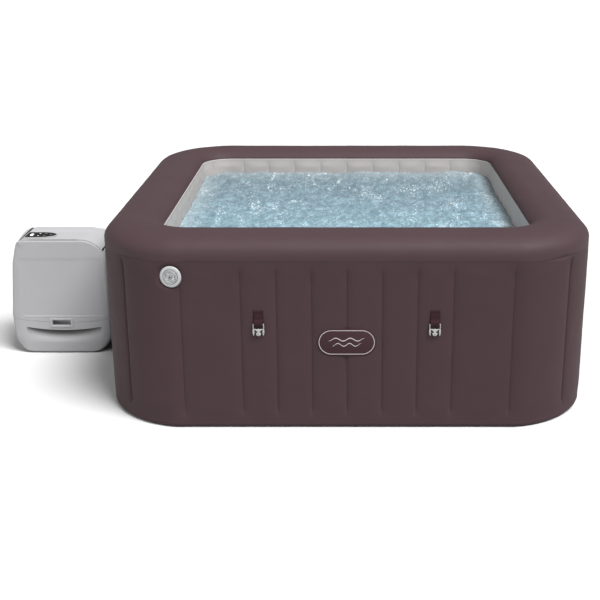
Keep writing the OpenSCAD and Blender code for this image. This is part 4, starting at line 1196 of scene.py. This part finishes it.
def bullet(off, n=40):
    """Outline of the control panel, grown by off."""
    pts = [(-1.512 - off, -0.036 + off), (-1.512 - off, -0.124 - off)]
    for i in range(n + 1):
        a = math.radians(-90 + 180 * i / n)
        pts.append((-1.450 + (0.076 + off) * math.cos(a), -0.080 + (0.044 + off) * math.sin(a)))
    return np.array(pts)


def panel_border():
    loops = []
    for off, z in ((0.0006, 0.5562), (0.0006, 0.5590), (0.0010, 0.5596), (0.0040, 0.5596), (0.0046, 0.5590), (0.0050, 0.5562)):
        p = bullet(off)
        loops.append(np.concatenate([p, np.full((len(p), 1), z)], 1))
    m = len(loops[0])
    ob = mesh_obj("panel_border", np.concatenate(loops), grid_faces(len(loops), m, True, True), M_CLIP)
    fix_normals(ob)
    shade_by_angle(ob, 40)


panel_border()


def plate(name, pts, z0, z1, mat, body=ROOT):
    P = np.array(pts); n = len(P)
    V = np.concatenate([np.concatenate([P, np.full((n, 1), z0)], 1), np.concatenate([P, np.full((n, 1), z1)], 1)])
    F = [(i, (i + 1) % n, n + (i + 1) % n, n + i) for i in range(n)] + [tuple(range(n - 1, -1, -1)), tuple(range(n, 2 * n))]
    ob = mesh_obj(name, V, F, mat, smooth=False, body=body)
    fix_normals(ob)
    return ob


def rrect(cx, cy, w, h, r, n=5):
    pts = []
    for sx, sy, a0 in ((1, 1, 0), (-1, 1, 90), (-1, -1, 180), (1, -1, 270)):
        for i in range(n + 1):
            a = math.radians(a0 + 90 * i / n)
            pts.append((cx + sx * (w / 2 - r) + r * math.cos(a), cy + sy * (h / 2 - r) + r * math.sin(a)))
    return pts


plate("display_lit", rrect(-1.4880, -0.080, 0.013, 0.030, 0.003), 0.55915, 0.55935, M_LIT)
for i, (x, y) in enumerate(BTN):
    # a thin ring or bar printed on each button
    n = 28
    if i in (0, 1):
        o = plate("button_mark_%d" % (i + 1), rrect(x, y, 0.0075, 0.0075, 0.0012), 0.55972, 0.55988, M_LIT2, body="button_%d" % (i + 1))
    else:
        V, loops = [], [(0.0036, 0.55972), (0.0036, 0.55988), (0.0027, 0.55988), (0.0027, 0.55972)]
        V = np.concatenate([np.array([(x + r * math.cos(2 * math.pi * q / n), y + r * math.sin(2 * math.pi * q / n), z) for q in range(n)]) for r, z in loops])
        o = mesh_obj("button_mark_%d" % (i + 1), V, grid_faces(4, n, True, True), M_LIT2, smooth=False, body="button_%d" % (i + 1))
        fix_normals(o)


# ------------------------------------------------------------------ cover straps and clips
def place_clip(i):
    """Turns local (x, y towards the wall, z) into the row frame."""
    back = i >= 2
    x0 = -0.347 if (i % 2 == 0) == (i < 2) else 0.347
    if back:
        x0 = -x0
        return lambda v: (-(v[0]) + (x0), 1.007 - v[1], 0.450 + v[2])
    return lambda v: (x0 + v[0], -1.007 + v[1], 0.450 + v[2])


def extrude_xz(name, pts, y0, y1, bev, mat, T, body):
    """A flat piece with rounded edges: outline in x, z; thickness y0..y1."""
    P = np.array(pts, float)
    c = P.mean(0)
    n = len(P)
    # inward offsets by the edge normals
    nx = np.roll(P, -1, 0) - np.roll(P, 1, 0)
    nrm = np.stack([nx[:, 1], -nx[:, 0]], -1); nrm /= np.linalg.norm(nrm, axis=1)[:, None] + 1e-12
    area2 = 0.5 * np.sum(P[:, 0] * np.roll(P[:, 1], -1) - np.roll(P[:, 0], -1) * P[:, 1])
    if area2 < 0:
        nrm = -nrm
    lay = []
    for k, y in ((bev, y0), (bev * 0.3, y0 + bev * 0.3), (0, y0 + bev), (0, y1 - bev), (bev * 0.3, y1 - bev * 0.3), (bev, y1)):
        Q = P - nrm * k
        lay.append(np.stack([Q[:, 0], np.full(n, y), Q[:, 1]], -1))
    V = np.concatenate(lay)
    F = [tuple(f) for f in grid_faces(6, n, False, True)] + [tuple(range(n)), tuple(range(5 * n, 6 * n))[::-1]]
    ob = mesh_obj(name, [T(v) for v in V], F, mat, body=body)
    fix_normals(ob)
    shade_by_angle(ob, 45)
    return ob


def smooth_poly(pts, r=0.0012, seg=4):
    return [tuple(p) for p in rounded(pts, r, seg)]


MM = 0.001


def strap(i):
    T = place_clip(i)
    # the webbing loop: wall side up to the patch, round the bar, back up the front
    path = []
    for z in np.linspace(54, 6, 25):
        path.append((5.55 - 0.0 * z, z))
    # lower turn round the bar, radius 3.6 at the middle of the webbing
    for a in np.linspace(20, -200, 25):
        t = math.radians(a)
        path.append((3.75 * math.cos(t), 3.75 * math.sin(t)))
    for z in np.linspace(4, 40, 19):
        k = min(1.0, max(0.0, (z - 4) / 16.0))
        path.append((-3.6 + (2.65 + 3.6) * (k * k * (3 - 2 * k)), z + 2))
    pts = np.array(path)
    w = 17.6
    tang = np.gradient(pts, axis=0); tang /= np.linalg.norm(tang, axis=1)[:, None] + 1e-9
    nn = np.stack([-tang[:, 1], tang[:, 0]], -1)
    th = 0.85
    secs = []
    cols = np.concatenate([[-w], np.linspace(-w + 0.7, w - 0.7, 9), [w]])
    prof = [(-w, 0)] + [(x, th) for x in cols[1:-1]] + [(w, 0)] + [(x, -th) for x in cols[1:-1][::-1]]
    V = []
    for p, q in zip(pts, nn):
        for x, o in prof:
            V.append(T((x * MM, (p[0] + q[0] * o) * MM, (p[1] + q[1] * o) * MM)))
    n, m = len(pts), len(prof)
    F = [tuple(f) for f in grid_faces(n, m, False, True)] + [tuple(range(m)), tuple(range((n - 1) * m, n * m))[::-1]]
    a = mesh_obj("strap_%d" % i, V, F, M_WEB)
    fix_normals(a); shade_by_angle(a, 50)
    # welded patch behind it
    b = extrude_xz("patch_%d" % i, smooth_poly([(-20 * MM, -3 * MM), (20 * MM, -3 * MM), (20 * MM, 56.5 * MM), (-20 * MM, 56.5 * MM)], 0.002), 6.6 * MM, 7.9 * MM, 0.0005, M_WEB, T, ROOT)
    # stitches: three rows across the doubled part
    st = []
    for z in (53.0, 41.0, 34.0):
        for q in range(9):
            x = -15.2 + q * 3.8
            y = 4.6 if z > 45 else 1.72
            st.append(extrude_xz("s", [((x + 1.5 * math.cos(t)) * MM, (z + 0.42 * math.sin(t)) * MM) for t in np.linspace(0, 2 * math.pi, 9)[:-1]], (y - 0.35) * MM, (y + 0.5) * MM, 0.0001, M_THREAD, T, ROOT))
    return a, b, st


M_THREAD = plastic("stitch_thread", srgb(46, 28, 33), rough=0.8, grain=2500, bump=0.2, vary=0.1)
straps, patches, stitches = [], [], []
for i in range(4):
    a, b, st = strap(i)
    straps.append(a); patches.append(b); stitches += st
sj = join("cover_straps", straps + patches + stitches)
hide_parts("strap_patches")

CLIPS = ["clip_front_left", "clip_front_right", "clip_back_left", "clip_back_right"]


def clip(i):
    T = place_clip(i); body = CLIPS[i]
    parts = []
    # the bar the webbing runs round
    n = 20
    V = []
    xs = [-20.4, -20.1, 20.1, 20.4]
    for x, r in zip(xs, (1.6, 2.2, 2.2, 1.6)):
        for q in range(n):
            t = 2 * math.pi * q / n
            V.append(T((x * MM, r * math.cos(t) * MM, r * math.sin(t) * MM)))
    bar_ = mesh_obj("b", V, [tuple(f) for f in grid_faces(4, n, False, True)] + [tuple(range(n)), tuple(range(3 * n, 4 * n))], M_CLIP, body=body)
    fix_normals(bar_); parts.append(bar_)

    def ex(pts, y0, y1, bev=0.0007, r=0.0012):
        o = extrude_xz("e", smooth_poly([(x * 0.86 * MM, z * 0.88 * MM) for x, z in pts], r, 4), y0 * MM, y1 * MM, bev, M_CLIP, T, body)
        parts.append(o)
        return o
    for s in (-1, 1):
        ex([(s * 22.0, 3.8), (s * 25.6, 3.8), (s * 25.9, -10), (s * 25.4, -24), (s * 22.4, -24), (s * 21.9, -10)], -2.4, 2.4, 0.0009)
        # a squeeze arm
        ex([(s * 26.4, -22.5), (s * 27.0, -31), (s * 26.8, -40), (s * 25.0, -47.5), (s * 22.6, -52.6), (s * 20.2, -52.6), (s * 19.4, -47), (s * 18.2, -38), (s * 18.8, -30), (s * 20.4, -22.5)], -3.0, 2.6, 0.0012, 0.002)
    # the centre: a wide shoulder that narrows to a waist, then the rounded tongue
    body_pts = [(-22.5, -20.3), (-14, -20.8), (-8, -22.6), (-3, -20.6), (3, -20.6), (8, -22.6), (14, -20.8), (22.5, -20.3), (22.5, -23.8), (15.0, -25.0), (4.4, -35.6), (4.8, -38.6), (10.8, -39.8),
                (11.4, -45.5), (8.6, -51.0), (3.6, -54.0), (-3.6, -54.0), (-8.6, -51.0), (-11.4, -45.5), (-10.8, -39.8), (-4.8, -38.6), (-4.4, -35.6), (-15.0, -25.0), (-22.5, -23.8)]
    c = ex(body_pts, -2.2, 2.4, 0.0009, 0.0016)
    c.data.name = "centre"
    # black pads behind the two openings: painted shade for the shadow in them
    for s in (-1, 1):
        shade_pad = extrude_xz("%s_painted_shade_pad_%d" % (body, (s + 1) // 2), smooth_poly([(s * x * 0.86 * MM, z * 0.88 * MM) for x, z in [(20.8, -23.4), (12.0, -23.4), (4.6, -33.0), (4.8, -38.6), (11.5, -42.0), (18.2, -44.0), (19.4, -33.0)]], 0.003, 4), -0.6 * MM, 0.6 * MM, 0.0003, M_RUBBER, T, body)
    ob = join("clip_%d" % i, parts)
    ob.name = CLIPS[i] + "_buckle"; ob.data.name = ob.name
    holes_ = []
    for (x, z, r) in ((0, -41.0, 1.9), (0, -24.6, 1.2)):
        o = Vector(T((x * MM, 0, z * MM)))
        holes_.append((o, r * MM))
    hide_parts(body)
    # dimples on the tongue and shoulder; the tongue's dimple is dark, painted shade
    for q, (o, r) in enumerate(holes_):
        yv = -1 if i < 2 else 1
        lathe("%s_dimple_%d" % (body, q), o, (0, yv, 0), [(0.0018, 0.00001), (0.0018, r * 0.8), (0.00235, r), (0.00255, r * 1.05), (0.0026, r * 1.25), (0.0022, r * 1.3)], M_SHADE_DARK if q == 0 else M_CLIP, n=20, body=body, closed=False)
    return ob


for i in range(4):
    clip(i)


# ------------------------------------------------------------------ badge: a plain pill with an outline and two waves
def pill(hw, r, n=40):
    pts = []
    for sx, a0 in ((1, -90), (-1, 90)):
        for i in range(n + 1):
            a = math.radians(a0 + 180 * i / n)
            pts.append((sx * hw + r * math.cos(a), r * math.sin(a)))
    return pts


def badge():
    T = lambda v: (v[0], v[1], v[2] + 0.373)
    b = extrude_xz("badge_plate", pill(0.060, 0.056), -1.0015, -0.9965, 0.0006, M_BADGE, T, ROOT)
    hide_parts("badge")
    # outline
    V = []
    for r, y in ((0.0508, -1.0014), (0.0508, -1.0019), (0.0482, -1.0019), (0.0482, -1.0014)):
        V.append(np.array([T((x, y, z)) for x, z in pill(0.060, r)]))
    o = mesh_obj("badge_outline", np.concatenate(V), grid_faces(4, len(V[0]), True, True), M_INK)
    fix_normals(o); shade_by_angle(o, 40)
    # waves
    for q, (zc, amp, hw, th) in enumerate(((0.012, 0.0060, 0.072, 0.0036), (-0.010, 0.0060, 0.058, 0.0030))):
        n = 120
        x = np.linspace(-hw, hw, n)
        z = zc + amp * np.sin(x / hw * math.pi * 2.5)
        t = th * (1 - (np.abs(x) / hw) ** 4) * 0.5 + 0.0002
        rows_ = []
        for s, y in ((1, -1.0014), (1, -1.0019), (-1, -1.0019), (-1, -1.0014)):
            rows_.append(np.array([T((a, y, b2 + s * c2)) for a, b2, c2 in zip(x, z, t)]))
        V2 = np.concatenate(rows_)
        F = [tuple(f) for f in grid_faces(4, n, True, False)] + [(0, n, 2 * n, 3 * n), (n - 1, 2 * n - 1, 3 * n - 1, 4 * n - 1)]
        w = mesh_obj("badge_wave_%d" % (q + 1), V2, F, M_INK)
        fix_normals(w); shade_by_angle(w, 40)


badge()


# ------------------------------------------------------------------ floor, light
fl_mat, fnt, fp = new_mat("studio_floor")
ftc = N(fnt, "ShaderNodeTexCoord")
fn = N(fnt, "ShaderNodeTexNoise", Scale=3.0, Detail=3.0)
fnt.links.new(ftc.outputs["Object"], fn.inputs["Vector"])
fr = ramp(fnt, [(0.2, (0.505, 0.505, 0.505, 1)), (0.8, (0.525, 0.525, 0.525, 1))], fn.outputs["Fac"])
fnt.links.new(fr.outputs["Color"], fp.inputs["Base Color"])
fp.inputs["Roughness"].default_value = 0.9
fp.inputs["Specular IOR Level"].default_value = 0.1
me = bpy.data.meshes.new("floor")
S = 80.0
me.from_pydata([(-S, -S, -0.0005), (S, -S, -0.0005), (S, S, -0.0005), (-S, S, -0.0005)], [], [(0, 1, 2, 3)])
floor = link(bpy.data.objects.new("floor", me))
me.materials.append(fl_mat)

world = bpy.data.worlds.new("world")
scene.world = world
world.use_nodes = True
bg = world.node_tree.nodes["Background"]
bg.inputs["Color"].default_value = (1, 1, 1, 1)
bg.inputs["Strength"].default_value = 0.35


def area(name, loc, target, size, power, color=(1, 1, 1)):
    d = bpy.data.lights.new(name, "AREA")
    d.shape = "RECTANGLE"; d.size, d.size_y = size
    d.energy = power; d.color = color
    o = link(bpy.data.objects.new(name, d))
    o.location = loc
    o.rotation_euler = (Vector(target) - Vector(loc)).to_track_quat("-Z", "Y").to_euler()
    return o


def sun(name, direction, strength, angle, color=(1, 1, 1)):
    d = bpy.data.lights.new(name, "SUN")
    d.energy = strength; d.angle = math.radians(angle); d.color = color
    o = link(bpy.data.objects.new(name, d))
    o.rotation_euler = (-Vector(direction)).to_track_quat("-Z", "Y").to_euler()
    o.location = Vector(direction) * 6
    return o


sun("key", (0.46, -0.40, 1.0), 6.5, 30)
sun("side_fill", (-0.80, -0.52, 0.42), 1.10, 60)
